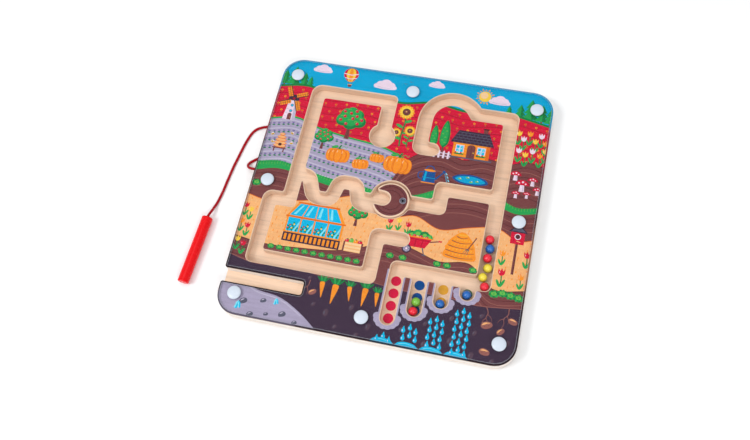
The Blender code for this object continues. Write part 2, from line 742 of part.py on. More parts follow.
def smooth_route(points):
    """Evenly spaced points on a smooth curve through a route's points."""
    ends = [2 * points[0] - points[1]] + points + [2 * points[-1] - points[-2]]
    fine = []
    for p0, p1, p2, p3 in zip(ends, ends[1:], ends[2:], ends[3:]):
        for index in range(ROUTE_DIVISIONS):
            t = index / ROUTE_DIVISIONS
            fine.append(0.5 * (2 * p1 + (p2 - p0) * t + (2 * p0 - 5 * p1 + 4 * p2 - p3) * t ** 2
                               + (3 * p1 - p0 - 3 * p2 + p3) * t ** 3))
    fine.append(points[-1])
    travelled = [0]
    for before, here in zip(fine, fine[1:]):
        travelled.append(travelled[-1] + (here - before).length)
    count = max(2, round(travelled[-1] / CORD_STEP))
    even = []
    index = 0
    for step in range(count):
        target = travelled[-1] * step / count
        while travelled[index + 1] < target:
            index += 1
        part = (target - travelled[index]) / (travelled[index + 1] - travelled[index])
        even.append(fine[index].lerp(fine[index + 1], part))
    return even + [fine[-1]], travelled[-1]


def add_cord(name, points, fibre, parent, origin=Vector((0, 0, 0))):
    """A tube along a smooth curve through the points."""
    route, length = smooth_route(points)
    curve = bpy.data.curves.new(name, "CURVE")
    curve.dimensions = "3D"
    curve.bevel_depth = CORD_RADIUS
    curve.bevel_resolution = CORD_BEVEL_RINGS
    curve.use_fill_caps = True
    spline = curve.splines.new("POLY")
    spline.points.add(len(route) - 1)
    for point, place in zip(spline.points, route):
        point.co = (*(place - origin), 1)
    curve.materials.append(fibre)
    thing = bpy.data.objects.new(name, curve)
    thing.parent = parent
    bpy.context.scene.collection.objects.link(thing)
    return length


def build_cord_and_wand(red, steel, fibre, root):
    """The cord from its anchor to the wand, and the wand on its two bending points."""
    left_edge = Vector((-HALF_WIDTH, 0, 0))
    anchor_height = MAZE_BOTTOM + ANCHOR_HEIGHT
    knot_x = -HALF_WIDTH + ANCHOR_INSET - (ANCHOR_POCKET_RADIUS - KNOT_RADIUS - SEAT_GAP)
    knot = turned(
        "anchor_knot", [(0, -KNOT_RADIUS)] + knot_profile(0) + [(0, KNOT_RADIUS)], fibre, root)
    knot.location = (knot_x, ANCHOR_Y, anchor_height)
    first = Vector((knot_x - KNOT_RADIUS - SEAT_GAP, ANCHOR_Y, anchor_height))
    route = [first] + [left_edge + Vector(point) for point in CORD_ROUTE]
    length = add_cord("cord", route, fibre, root)

    heading = Vector((math.cos(WAND_HEADING), math.sin(WAND_HEADING), 0))
    far_end = Vector((-HALF_WIDTH - WAND_STAND_OFF, WAND_END_Y, WAND_RADIUS))
    lift_point = far_end - heading * WAND_PIVOT_REACH
    lead = [left_edge + Vector(point) for point in LEAD_ROUTE]
    lead += [lift_point, far_end - heading * SEAT_GAP]
    swing_point = lead[0] + (lead[1] - lead[0]).normalized() * SWING_PIVOT_REACH
    swing = add_empty("wand_swing_axis", swing_point, root)
    length += add_cord("cord_lead", lead, fibre, swing, swing_point)
    lift = add_empty("wand_lift_axis", lift_point - swing_point, swing)
    lift.rotation_euler = heading.to_track_quat("Z", "Y").to_euler()
    build_wand(red, steel, fibre, lift)
    print("cord length in millimetres:", round(length / MM, 1))


def centre_over_origin(root):
    """Shift the whole model so that all but the cord stands centred over the origin."""
    bpy.context.view_layer.update()
    across = []
    for thing in bpy.data.objects:
        if thing.type == "MESH" and not thing.hide_render:
            across += [(thing.matrix_world @ vertex.co).x for vertex in thing.data.vertices]
    root.location.x = -(min(across) + max(across)) / 2
    bpy.context.view_layer.update()
    print("board's middle in metres:", round(root.location.x, 6))


def main():
    """Build the whole model."""
    clear_scene()
    root = add_empty("board_middle", (0, 0, 0))
    bare = material("bare_wood", (0.82, 0.62, 0.42), 0.6)
    printed = material("printed_wood", (0.42, 0.2, 0.16), 0.45)
    brown = material("brown_printed_wood", (0.17, 0.04, 0.045), 0.45)
    clear = material("clear_acrylic", (0.95, 0.97, 1), 0.06, transmission=0.9)
    white = material("white_plastic", (0.78, 0.84, 0.88), 0.35)
    steel = material("steel", (0.6, 0.6, 0.62), 0.3, metallic=1)
    red = material("red_plastic", (0.85, 0.012, 0.02), 0.3)
    fibre = material("red_braid", (0.5, 0.01, 0.03), 0.8)
    colours = {
        "red": material("red_ball", (0.7, 0.015, 0.03), 0.25),
        "blue": material("blue_ball", (0.02, 0.09, 0.4), 0.25),
        "yellow": material("yellow_ball", (0.85, 0.5, 0.02), 0.25),
        "green": material("green_ball", (0.06, 0.35, 0.05), 0.25),
    }
    build_board(bare, printed, clear, root)
    build_rivets(white, root)
    build_gate(brown, steel, root)
    build_balls(colours, root)
    build_cord_and_wand(red, steel, fibre, root)
    centre_over_origin(root)


main()
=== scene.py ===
from itertools import accumulate
import json
import math

import bmesh
import bpy
from mathutils import Matrix, Vector
from mathutils.geometry import delaunay_2d_cdt

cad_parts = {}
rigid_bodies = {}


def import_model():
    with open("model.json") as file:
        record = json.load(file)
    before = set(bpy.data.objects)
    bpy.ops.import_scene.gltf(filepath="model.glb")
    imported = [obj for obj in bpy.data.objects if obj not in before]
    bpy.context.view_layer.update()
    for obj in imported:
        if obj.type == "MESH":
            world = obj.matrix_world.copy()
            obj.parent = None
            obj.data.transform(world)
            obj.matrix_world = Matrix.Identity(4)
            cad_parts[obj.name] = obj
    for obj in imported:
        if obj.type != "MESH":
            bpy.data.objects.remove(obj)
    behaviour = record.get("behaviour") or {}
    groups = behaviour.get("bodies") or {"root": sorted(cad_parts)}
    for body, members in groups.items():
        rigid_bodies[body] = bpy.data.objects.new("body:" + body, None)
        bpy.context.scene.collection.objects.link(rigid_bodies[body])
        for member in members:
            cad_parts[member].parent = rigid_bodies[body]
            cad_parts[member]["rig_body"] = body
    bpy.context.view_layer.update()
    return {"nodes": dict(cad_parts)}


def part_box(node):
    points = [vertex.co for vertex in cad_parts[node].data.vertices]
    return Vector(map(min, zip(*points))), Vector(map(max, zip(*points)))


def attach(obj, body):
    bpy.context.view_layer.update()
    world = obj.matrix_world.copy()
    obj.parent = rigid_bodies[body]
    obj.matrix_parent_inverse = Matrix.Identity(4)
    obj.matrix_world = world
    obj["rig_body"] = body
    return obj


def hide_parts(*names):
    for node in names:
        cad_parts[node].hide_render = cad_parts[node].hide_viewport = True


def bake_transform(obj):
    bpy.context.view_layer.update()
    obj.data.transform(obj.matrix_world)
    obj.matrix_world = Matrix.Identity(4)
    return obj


MM = 0.001

# The board's middle and left edge, and how its plies lie one above the other
MIDDLE = Vector((0.024136, 0))
BOARD_LEFT = MIDDLE.x - 0.15
PLY_PITCH, PLY_START = 2.04 * MM, 5.8 * MM

# Rounded edges: a negative one is drawn into its outline, and the last of a plate's goes for all further outlines
BACK_ROUNDS = (-0.3 * MM,)
MAZE_ROUNDS = (-0.2 * MM, 0.9 * MM, -0.2 * MM)
COVER_ROUNDS = (-1.5 * MM, -0.25 * MM)
DISC_ROUNDS = (1.5 * MM, -0.2 * MM)
COVER_SPREAD = 1.6
LANE_CORNER = 2.4 * MM
PLATE_EDGE = 0.3 * MM
SMOOTH_ANGLE = math.radians(38)

# The sorting slots, in millimetres: place across, foot, colour of the dots and how many
SLOTS = (
    (22.65, -123.15, "dot_red", 4), (46.65, -110.25, "dot_blue", 3),
    (70.65, -97.35, "dot_ochre", 2), (94.65, -84.45, "dot_green_with_painted_shade", 1),
)
DOT_RADIUS, FIRST_DOT, DOT_PITCH = 5.15, -82.2, 13.03
BALL_RADIUS = 4.75 * MM

# The cord's route, in millimetres: out from the board's left edge, along that edge, and height
CORD_ROUTE = (
    (4.2, 11, 9.4), (0, 11, 9.4), (-3.8, 11.1, 9.2), (-7.4, 11.8, 8.1), (-10.6, 13.4, 6.1),
    (-12.7, 15.9, 4), (-13, 19, 2.4), (-11.3, 22, 1.6), (-8.4, 24.6, 1.45), (-3.6, 28.4, 1.42),
    (8, 36.4, 1.42), (22, 43, 1.42), (38, 48, 1.42), (52, 55.5, 1.42), (59.5, 67, 1.42),
    (57, 79.5, 1.42), (46, 87, 1.42), (32.5, 86, 1.42), (19.5, 79.5, 1.42), (7, 72, 1.42),
    (-4.8, 67.5, 1.42), (-11.3, 65.1, 1.42), (-16.5, 61.7, 1.42), (-20.3, 56, 1.42),
    (-23.1, 46.9, 1.42), (-25, 37.9, 1.42), (-27.2, 24.2, 1.42), (-29.1, 12.4, 1.42),
    (-30.8, -2.9, 1.42), (-32, -16.1, 1.42), (-33.6, -27.3, 1.42), (-34.5, -32.5, 1.8),
    (-35.4, -37.5, 3.1), (-36.2, -42, 4.5), (-37.2, -46.2, 5.7),
)
CORD_RADIUS = 1.4 * MM
CORD_STEP = 1.1 * MM
BRAID_PITCH = 1.8 * MM
KNOT_RADIUS, KNOT_SIZE, KNOT_STEPS = 0.95 * MM, 0.48 * MM, 72
# How far before its last bend the cord is parted
PARTED = 4.2 * MM

# The wand, in millimetres, from its pivot along its own axis, how far inside its face the cord ends and its knot
# lies, and the two points that the cord bends at
WAND_RADIUS, WAND_LENGTH, WAND_EDGE, WAND_FACE = 5.85, 74, 1.2, 2.6
CAP_LENGTH, SPIGOT_LENGTH, MAGNET_LENGTH = 2.15, 4, 15
CORD_END, KNOT_DEPTH = 2.2, 4.2
LIFT_POINT = Vector((-0.16421, -0.048705, 0.0055))
WAND_HEADING = Vector((-0.059306, -0.99824, 0))
WAND_POINT = LIFT_POINT + Vector((0.0004, 0, 0.00035))

# The rivets' caps, and how far the print is drawn from the board's middle, in millimetres
CAP_RADIUS, CAP_RIM, CAP_DOME, CAP_EDGE = 7, 0.5, 1.8, 0.2
PRINT_REACH = 152

# The camera, solved from the board's outline in the photograph and then moved by under a millimetre
CAMERA_PLACE = Vector((0.13259, -0.30175, 0.74457))
CAMERA_RIGHT = Vector((0.97370, 0.21400, -0.07824))
CAMERA_FORWARD = Vector((-0.15132, 0.35061, -0.92421))
CAMERA_SENSOR, CAMERA_LENS, CAMERA_CLIP = 36, 36.926, 0.02

# The studio: its floor, its sky, and each light's name, place, size and power
FLOOR_SIZE = 6
WORLD_COLOUR, WORLD_STRENGTH = (0.96, 0.98, 1, 1), 0.62
LIGHTS = (
    ("key", (-1.6, -0.95, 2.4), 0.9, 34), ("fill", (1.4, -1.7, 2.0), 0.8, 20), ("top", (-0.2, 0.4, 3.2), 1.8, 13),
)

PALETTE = {
    "sky": (0, 168, 214), "red": (216, 22, 58), "dark_red": (176, 18, 48), "orange": (250, 150, 42),
    "dark_orange": (232, 112, 28), "sand": (247, 182, 120), "pale_sand": (251, 208, 156),
    "brown": (122, 66, 66), "dark_brown": (88, 42, 46), "light_brown": (154, 96, 88), "aubergine": (64, 46, 66),
    "light_aubergine": (88, 66, 80), "lavender": (172, 162, 188), "pale_lavender": (192, 184, 205),
    "slate": (92, 92, 110), "violet": (126, 112, 164), "green": (40, 165, 82), "dark_green": (24, 128, 66),
    "leaf": (112, 190, 78), "cyan": (0, 186, 230), "pale_cyan": (130, 226, 242),
    "cloud": (240, 217, 232), "yellow": (250, 206, 70), "blue": (28, 84, 150),
    # The green dot's print colour is darkened as painted shade round the ball that sits on it
    "dot_red": (218, 24, 72), "dot_blue": (2, 80, 156), "dot_ochre": (226, 168, 56), "dot_green_with_painted_shade": (24, 108, 76),
}
BALL_COLOURS = {"red": (250, 14, 50), "blue": (0, 106, 196), "yellow": (252, 230, 60), "green": (128, 200, 58)}

# The print's colours as a painted reflection in the cover's edge, from the front of the board to the back, and at its
# rock, darkened by a painted shade
EDGE_REFLECTED_TONES = (
    (0.0, (48, 28, 38)), (0.18, (50, 30, 40)), (0.24, (84, 46, 46)), (0.32, (196, 138, 96)),
    (0.44, (180, 120, 90)), (0.5, (92, 52, 50)), (0.62, (96, 84, 100)), (0.72, (168, 28, 54)),
    (0.84, (176, 28, 54)), (0.88, (34, 180, 232)), (1.0, (44, 190, 240)),
)
ROCK_REFLECTED_TONE, EDGE_PAINTED_SHADE = (104, 94, 114), 0.62


# Materials

def shade(rgb, times=1.0):
    """An sRGB colour from 0 to 255 as the shader reads it, made lighter or darker."""
    shares = [value / 255 for value in rgb]
    return tuple(min(1, times * (s / 12.92 if s <= 0.04045 else ((s + 0.055) / 1.055) ** 2.4)) for s in shares)


class Shader:
    """A Principled material and short calls for the nodes that feed it."""

    def __init__(self, name, **constants):
        self.material = bpy.data.materials.new(name)
        self.material.use_nodes = True
        self.tree = self.material.node_tree
        self.bsdf = self.tree.nodes["Principled BSDF"]
        self.place = self.node("TexCoord", {}, "Object")
        for socket, value in constants.items():
            self.bsdf.inputs[socket.replace("_", " ")].default_value = value

    def put(self, value, socket):
        if isinstance(value, bpy.types.NodeSocket):
            self.tree.links.new(value, socket)
        else:
            socket.default_value = (*value, 1) if socket.type == "RGBA" else value

    def node(self, kind, inputs, output=0, **settings):
        """An output of a new node, whose inputs get numbers, colours or the outputs of other nodes."""
        node = self.tree.nodes.new("ShaderNode" + kind)
        for key, value in settings.items():
            setattr(node, key, value)
        for key, value in inputs.items():
            self.put(value, node.inputs[key])
        return node.outputs[output]

    def axis(self, name, source=None):
        return self.node("SeparateXYZ", {"Vector": source or self.place}, name)

    def noise(self, scale, detail, roughness=0.55, distortion=0.0):
        scale = (scale,) * 3 if isinstance(scale, int) else scale
        place = self.node("Mapping", {"Vector": self.place, "Scale": scale})
        return self.node("TexNoise", {
            "Vector": place, "Scale": 1, "Detail": detail, "Roughness": roughness, "Distortion": distortion})

    def ramp(self, source, stops):
        colour = self.node("ValToRGB", {"Fac": source})
        elements = colour.node.color_ramp.elements
        elements.remove(elements[0])
        elements[0].position, elements[0].color = stops[-1][0], (*stops[-1][1], 1)
        for position, tone in stops[:-1]:
            elements.new(position).color = (*tone, 1)
        return colour

    def tones(self, source, rgb, *stops):
        """Shades of one colour, as (place on the ramp, how light)."""
        return self.ramp(source, [(at, shade(rgb, times)) for at, times in stops])

    def math(self, operation, first, second=0.0):
        return self.node("Math", {0: first, 1: second}, operation=operation)

    def times(self, first, second):
        return self.math("MULTIPLY", first, second)

    def plus(self, first, second):
        return self.math("ADD", first, second)

    def less(self, first, second):
        return self.math("SUBTRACT", first, second)

    def mix(self, factor, first, second):
        return self.node("Mix", {0: factor, 6: first, 7: second}, 2, data_type="RGBA")

    def spread(self, source, low, high, **more):
        """A source from 0 to 1 brought between two other numbers."""
        more = {key.replace("_", " "): value for key, value in more.items()}
        return self.node("MapRange", {**more, "To Min": low, "To Max": high, "Value": source})

    def done(self, colour, rough=None, bump=None):
        """The material, with its colour, a (source, low, high) roughness and a (height, strength, distance) bump."""
        self.put(colour, self.bsdf.inputs["Base Color"])
        if rough:
            self.put(self.spread(*rough), self.bsdf.inputs["Roughness"])
        if bump:
            normal = self.node("Bump", dict(zip(("Height", "Strength", "Distance"), bump)))
            self.put(normal, self.bsdf.inputs["Normal"])
        return self.material


def wood_material(name, rgb):
    """Pale sanded wood: fine fibres along X, wider growth bands and short dark pores."""
    s = Shader(name, Specular_IOR_Level=0.2)
    fibres = s.noise((14, 240, 240), 6, 0.62, 0.3)
    bands = s.noise((3.08, 52.8, 52.8), 3, 0.5, 1.2)
    pores = s.noise((47.6, 816, 816), 2, 0.5)
    base = s.tones(fibres, rgb, (0.3, 0.8), (0.5, 1.0), (0.72, 1.09))
    toned = s.mix(s.times(bands, 0.4), base, shade((rgb[0] - 6, rgb[1] - 12, rgb[2] - 34)))
    dark = s.times(s.math("GREATER_THAN", pores, 0.67), 0.16)
    height = s.plus(fibres, s.times(pores, 0.5))
    return s.done(s.mix(dark, toned, shade(rgb, 0.55)), (fibres, 0.46, 0.66), (height, 0.25, 0.25 * MM))


def ply_material(name, rgb):
    """The cut edge of plywood: thin plies one above the other, every other one of end grain."""
    s = Shader(name, Specular_IOR_Level=0.3)
    ply = s.math("DIVIDE", s.less(s.axis("Z"), PLY_START), PLY_PITCH)
    turn = s.math("FRACT", s.plus(ply, s.times(s.noise((60, 60, 200), 2), 0.16)))
    end_grain = s.math("GREATER_THAN", turn, 0.5)
    seam = s.math("LESS_THAN", s.math("ABSOLUTE", s.less(turn, 0.5)), 0.035)
    fibres = s.noise((220, 220, 900), 4, 0.6)
    specks = s.noise(1500, 2, 0.6)
    lengthwise = s.tones(fibres, rgb, (0.3, 0.86), (0.7, 1.08))
    crosswise = s.tones(specks, rgb, (0.3, 0.66), (0.7, 0.92))
    plies = s.mix(s.times(end_grain, 0.6), lengthwise, crosswise)
    glue = shade((rgb[0], rgb[1] - 40, rgb[2] - 60), 0.6)
    return s.done(s.mix(s.times(seam, 0.5), plies, glue), (specks, 0.55, 0.75),
                  (s.plus(fibres, specks), 0.3, 0.2 * MM))


def print_material(name, rgb):
    """Ink on wood: an even colour that lets a little of the grain and of the ink's own mottle through."""
    s = Shader(name, Specular_IOR_Level=0.1)
    grain = s.noise((18, 420, 300), 5, 0.6, 0.2)
    tone = s.plus(s.times(grain, 0.5), s.times(s.noise(700, 3, 0.6), 0.3))
    tone = s.plus(tone, s.times(s.noise(45, 2, 0.5), 0.2))
    return s.done(s.tones(tone, rgb, (0.34, 0.87), (0.5, 1), (0.66, 1.12)), (grain, 0.36, 0.52),
                  (grain, 0.15, 0.12 * MM))


def plastic_material(name, rgb, roughness, shine=0.5):
    """Moulded plastic: faint orange peel and small changes in tone and gloss."""
    s = Shader(name, Specular_IOR_Level=shine)
    wear = s.noise(420, 3, 0.6)
    return s.done(s.tones(wear, rgb, (0.35, 0.975), (0.65, 1.02)), (wear, roughness * 0.85, roughness * 1.2),
                  (s.noise(900, 2, 0.5), 0.04, 0.1 * MM))


def ball_material(name, rgb):
    """A lacquered ball under a glossy coat, whose deep colour has painted shade that darkens it towards its lower
    half.
    """
    s = Shader(name, Roughness=0.4, Specular_IOR_Level=0.1, Coat_Weight=1.0, Coat_Roughness=0.22, Coat_IOR=1.6)
    wear = s.noise(300, 3, 0.6)
    # Painted shade: the colour follows the height of the surface's normal, darker below and a little lighter on top
    height = s.plus(s.axis("Z", s.node("NewGeometry", {}, "Normal")), s.times(s.less(wear, 0.5), 0.12))
    tone = s.tones(height, rgb, (0.05, 0.3), (0.45, 0.62), (0.8, 0.98), (1.0, 1.03))
    return s.done(tone, bump=(wear, 0.03, 0.1 * MM))


def clear_material(name, rgb, facing, grazing, roughness):
    """Clear acrylic: almost unseen from the front and glossier along it, with faint handling marks."""
    s = Shader(name, Specular_IOR_Level=0.6)
    marks = s.noise((60, 900, 60), 4, 0.7, 0.6)
    alpha = s.spread(s.node("Fresnel", {}), facing, grazing, From_Min=0.04)
    s.put(alpha, s.bsdf.inputs["Alpha"])
    return s.done(s.tones(marks, rgb, (0.3, 0.96), (0.7, 1.03)), (marks, roughness, roughness * 2.2),
                  (marks, 0.02, 0.05 * MM))


def edge_material(name):
    """The clear sheet's edge, painted with a darkened reflection of the print beside it: painted reflection and
    painted shade.
    """
    s = Shader(name, Alpha=0.84, Specular_IOR_Level=0.12)
    share = s.spread(s.axis("Y"), 0, 1, From_Min=-0.15, From_Max=0.15)
    streaks = s.noise((90, 90, 1400), 4, 0.65)
    turn = s.plus(share, s.times(s.less(streaks, 0.5), 0.08))
    # Painted reflection: the print's colours along Y, darkened as painted shade, and the rock's at the front left
    # corner
    reflected_print_tones = s.ramp(turn, [(at, shade(rgb, EDGE_PAINTED_SHADE)) for at, rgb in EDGE_REFLECTED_TONES])
    rock = s.times(s.math("LESS_THAN", s.axis("X"), -0.04), s.math("LESS_THAN", s.axis("Y"), -0.128))
    return s.done(s.mix(rock, reflected_print_tones, shade(ROCK_REFLECTED_TONE, EDGE_PAINTED_SHADE)), (streaks, 0.2, 0.5),
                  (streaks, 0.1, 0.1 * MM))


def metal_material(name, rgb, roughness):
    """Nickel-plated steel with fine turning marks."""
    s = Shader(name, Metallic=1.0)
    marks = s.noise((1600, 1600, 300), 3, 0.6)
    return s.done(s.tones(marks, rgb, (0.3, 0.8), (0.7, 1.1)), (marks, roughness, roughness * 1.8),
                  (marks, 0.1, 0.08 * MM))


def braid_material(name, rgb):
    """A braided cord: strands that cross in two directions, from the tube's own UVs, with painted shade in the
    hollows between strands and painted light on their crowns.
    """
    s = Shader(name, Specular_IOR_Level=0.12, Sheen_Weight=0.08, Sheen_Roughness=0.5)
    uv = s.node("UVMap", {}, uv_map="UVMap")
    around, along = s.axis("X", uv), s.axis("Y", uv)
    one, two = (s.math("SINE", s.times(s.math(way, around, along), math.tau)) for way in ("ADD", "SUBTRACT"))
    weave = s.times(s.plus(s.times(one, two), 1), 0.5)
    yarn = s.noise(2600, 3, 0.7)
    height = s.plus(weave, s.times(yarn, 0.35))
    # Painted shade and light: the colour follows the weave's height, dark in the hollows and light on the crowns
    return s.done(s.tones(height, rgb, (0.1, 0.4), (0.5, 0.95), (1.0, 1.35)), (yarn, 0.6, 0.85),
                  (height, 0.7, 0.25 * MM))


# Plan shapes

def polar(across, up, degrees):
    """A point on an ellipse."""
    return across * math.cos(math.radians(degrees)), up * math.sin(math.radians(degrees))


def around(loop):
    """Each point of a closed loop between the one before it and the one after it."""
    return zip(loop[-1:] + loop[:-1], loop, loop[1:] + loop[:1])


def through(path):
    """Each point of an open path between its neighbours, which an end lacks on one side."""
    return zip(path[:1] + path, path, path[1:] + path[-1:])


def lengths(path):
    """How far along a path each of its points lies."""
    return list(accumulate(((here - before).length for before, here in zip(path, path[1:])), initial=0))


def turn_at(before, here, after):
    into, out = here - before, after - here
    return math.atan2(into.x * out.y - into.y * out.x, into.dot(out))


def counter_clockwise(loop):
    return loop if signed_area(loop) > 0 else loop[::-1]


def signed_area(loop):
    return sum(a.x * b.y - b.x * a.y for _, a, b in around(loop)) / 2


def ellipse(x, y, rx, ry=None, tilt=0, count=24, end=360):
    """An ellipse, or its part up to an angle."""
    cosine, sine = polar(1, 1, tilt)
    turns = (polar(rx, rx if ry is None else ry, end * index / count) for index in range(count + (end < 360)))
    return [(x + u * cosine - v * sine, y + u * sine + v * cosine) for u, v in turns]


def mirrored(half):
    """A symmetric outline from one half of it, whose points on the middle line aren't doubled."""
    return half + [(-x, y) for x, y in reversed(half) if x]


def raised(line, rise):
    return [(x, y + rise) for x, y in line]


def smooth(points, closed=True, parts=6):
    """A smooth curve through points."""
    pts = [Vector(p) for p in points]
    ends = pts[-1:] + pts + pts[:2] if closed else [2 * pts[0] - pts[1]] + pts + [2 * pts[-1] - pts[-2]]
    line = []
    for p0, p1, p2, p3 in zip(ends, ends[1:], ends[2:], ends[3:]):
        for index in range(parts):
            t = index / parts
            line.append(0.5 * (2 * p1 + (p2 - p0) * t + (2 * p0 - 5 * p1 + 4 * p2 - p3) * t ** 2
                               + (3 * p1 - p0 - 3 * p2 + p3) * t ** 3))
    return line if closed else line + [pts[-1]]


def stroke(points, width, tip=None):
    """A strip along an open path, narrowing to the tip's width if one is given."""
    pts = [Vector(p) for p in points]
    left, right = [], []
    for index, (before, here, after) in enumerate(through(pts)):
        side = (after - before).normalized().orthogonal()
        share = index / (len(pts) - 1)
        half = (width if tip is None else width + (tip - width) * share) / 2
        left.append(here + side * half)
        right.append(here - side * half)
    return left + right[::-1]


def offset(points, distance):
    """A closed loop moved to its left, with mitred corners."""
    moved = []
    for before, here, after in around(points):
        into, out = (here - before).normalized(), (after - here).normalized()
        moved.append(here + Vector((-into.y - out.y, into.x + out.x)) * (distance / (1 + into.dot(out))))
    return moved


def face_loops(node, height, upward=0.99, near=0.02 * MM, straight=0.006):
    """The outlines of a solid's upward faces near a height, the outer one first, all counter-clockwise and without
    the corners that are as good as straight."""
    data = frame["nodes"][node].data
    edges = set()
    for poly in data.polygons:
        corners = [data.vertices[index].co for index in poly.vertices]
        if poly.normal.z < upward or abs(corners[0].z - height) > near:
            continue
        keys = [(round(c.x, 6), round(c.y, 6)) for c in corners]
        for start, end in zip(keys, keys[1:] + keys[:1]):
            if (end, start) in edges:
                edges.remove((end, start))
            else:
                edges.add((start, end))
    following = dict(edges)
    loops = []
    while following:
        start, here = following.popitem()
        loop = [start]
        while here != start:
            loop.append(here)
            here = following.pop(here)
        loop = [Vector(point) for point in loop]
        loops.append(counter_clockwise([three[1] for three in around(loop) if abs(turn_at(*three)) > straight]))
    return sorted(loops, key=lambda loop: -signed_area(loop))


def bend(start, middle, end, parts):
    """Points on the curve from the start to the end that leans to the middle."""
    return [(1 - t) ** 2 * start + 2 * t * (1 - t) * middle + t ** 2 * end
            for t in (step / parts for step in range(parts + 1))]


def eased(loop, size, bent=-0.3, sharp=-1.1, apart=12 * MM):
    """A lane's outline with the corners of the wood that stand free in it made rounder. A corner is a run of bent
    points that turn by a sharp angle in all, and lies well apart from the next."""
    count = len(loop)
    turns = [turn_at(*three) for three in around(loop)]
    peaks = []
    for index in range(count):
        if turns[index] < bent <= turns[index - 1]:
            run = [index]
            while turns[(run[-1] + 1) % count] < bent:
                run.append((run[-1] + 1) % count)
            if sum(turns[k] for k in run) < sharp:
                peaks.append(run[len(run) // 2])
    made = {}
    for peak in peaks:
        here = loop[peak]
        if any(0 < (loop[other] - here).length < apart for other in peaks):
            continue
        ends = []
        for way in (-1, 1):
            at = peak
            while (loop[(at + way) % count] - here).length < size:
                at = (at + way) % count
                made[at] = []
            near, far = loop[at], loop[(at + way) % count]
            share = (size - (near - here).length) / ((far - here).length - (near - here).length)
            ends.append((near.lerp(far, share), (far - near).normalized()))
        (start, out), (end, onward) = ends
        gap = end - start
        reach = (gap.x * onward.y - gap.y * onward.x) / (out.x * onward.y - out.y * onward.x)
        made[peak] = bend(start, start + out * reach, end, 5)
    return [point for index, here in enumerate(loop) for point in made.get(index, [here])]


def refined(loop, parts=3, limit=0.9, least=0.04 * MM):
    """A faceted loop made smooth: each blunt corner becomes a short arc between the sides' middles."""
    made = []
    for before, here, after in around(loop):
        if abs(turn_at(before, here, after)) > limit:
            made.append(here)
            continue
        reach = min((here - before).length, (after - here).length) / 2
        start = here + (before - here).normalized() * reach
        end = here + (after - here).normalized() * reach
        made += bend(start, here, end, parts)
    kept = []
    for point in made:
        if not kept or (point - kept[-1]).length > least:
            kept.append(point)
    while (kept[0] - kept[-1]).length < least:
        kept.pop()
    return kept


# Solids

def finished(name, mesh, materials, body=None, node=None, slot=None):
    """A bmesh made into a piece that rides on a body and shows a solid of the model."""
    data = bpy.data.meshes.new(name)
    mesh.to_mesh(data)
    mesh.free()
    for material in materials:
        data.materials.append(material)
    flat = [poly for poly in data.polygons if not poly.use_smooth]
    data.set_sharp_from_angle(angle=SMOOTH_ANGLE)
    for poly in flat:
        poly.use_smooth = False
    piece = bpy.data.objects.new(name, data)
    bpy.context.scene.collection.objects.link(piece)
    if body:
        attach(piece, body)
    if node:
        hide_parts(node)
    return piece


def add_rings(mesh, rings, material, last_material, last):
    """Faces between closed rings of points, the last bands in a material of their own."""
    rows = [[mesh.verts.new(point) for point in ring] for ring in rings]
    for band, (lower, upper) in enumerate(zip(rows, rows[1:])):
        for index in range(len(lower)):
            after = (index + 1) % len(lower)
            face = mesh.faces.new((lower[index], lower[after], upper[after], upper[index]))
            face.material_index = last_material if band >= len(rows) - 1 - last else material
            face.smooth = True


def add_face(mesh, loops, height, art=(), slot_of=None, upward=True):
    """A flat face inside the first loop and outside the others, coloured by the topmost shape of the art."""
    points, faces = [], []
    for loop in loops + [shape for _, shape in art]:
        faces.append(list(range(len(points), len(points) + len(loop))))
        points += loop
    made, _, triangles, _, _, sources = delaunay_2d_cdt(points, [], faces, 1, 1e-6)
    verts = {}
    holes = len(loops)
    for tri, source in zip(triangles, sources):
        if 0 not in source or any(0 < index < holes for index in source):
            continue
        for index in tri:
            if index not in verts:
                verts[index] = mesh.verts.new((*made[index], height))
        face = mesh.faces.new([verts[index] for index in (tri if upward else tri[::-1])])
        top = max(source) - holes
        face.material_index = slot_of[art[top][0]] if top >= 0 else 0
        face.smooth = False


def plate(name, role, rounds, materials, walls, art=(), ease=0, rim=(0, math.inf), spread=1):
    """A plate with the outlines of the solid that it shows, and the art or else the first material on its top. The
    walls are the materials of its outer and inner walls. Below its rounded edge each wall stands out by the round,
    and a negative round is drawn in instead. The rim is the material of the rounds and how many of their bands have
    it, the spread makes the outer one wider, and corners that stand free in a hole are eased."""
    lower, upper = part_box(role[1])
    outline, *holes = face_loops(role[1], upper.z)
    loops = [refined(outline)] + [refined(eased(loop, ease) if ease else loop) for loop in holes]
    mesh = bmesh.new()
    upper_loops, lower_loops = [], []
    for index, loop in enumerate(loops):
        size = rounds[min(index, len(rounds) - 1)]
        reach = abs(size)
        outward, across = (1, reach) if index else (-1, reach * spread)
        start = -across if size < 0 else 0
        small = min(PLATE_EDGE, reach)
        steps = 5 if reach > 0.5 * MM else 3
        angles = [math.pi / 2 * step / steps for step in range(steps + 1)]
        levels = [(start + across * math.sin(angle), upper.z - reach * (1 - math.cos(angle))) for angle in angles]
        levels += [(start + across, lower.z + small), (start + across - small, lower.z)]
        moved = [(offset(loop, outward * distance), height) for distance, height in levels]
        rings = [[(*point, height) for point in ring] for ring, height in moved[::-1]]
        add_rings(mesh, rings, walls[min(index, 1)], rim[0], min(rim[1], steps))
        upper_loops.append(moved[0][0] if start else loop)
        lower_loops.append(moved[-1][0])
    add_face(mesh, upper_loops, upper.z, art, {material.name: index for index, material in enumerate(materials)})
    add_face(mesh, lower_loops, lower.z, upward=False)
    bmesh.ops.remove_doubles(mesh, verts=mesh.verts, dist=0.001 * MM)
    bmesh.ops.recalc_face_normals(mesh, faces=[f for f in mesh.faces if f.smooth])
    return finished(name, mesh, materials, *role)


def circle_turns(sides):
    return [(math.cos(math.tau * k / sides), math.sin(math.tau * k / sides)) for k in range(sides)]


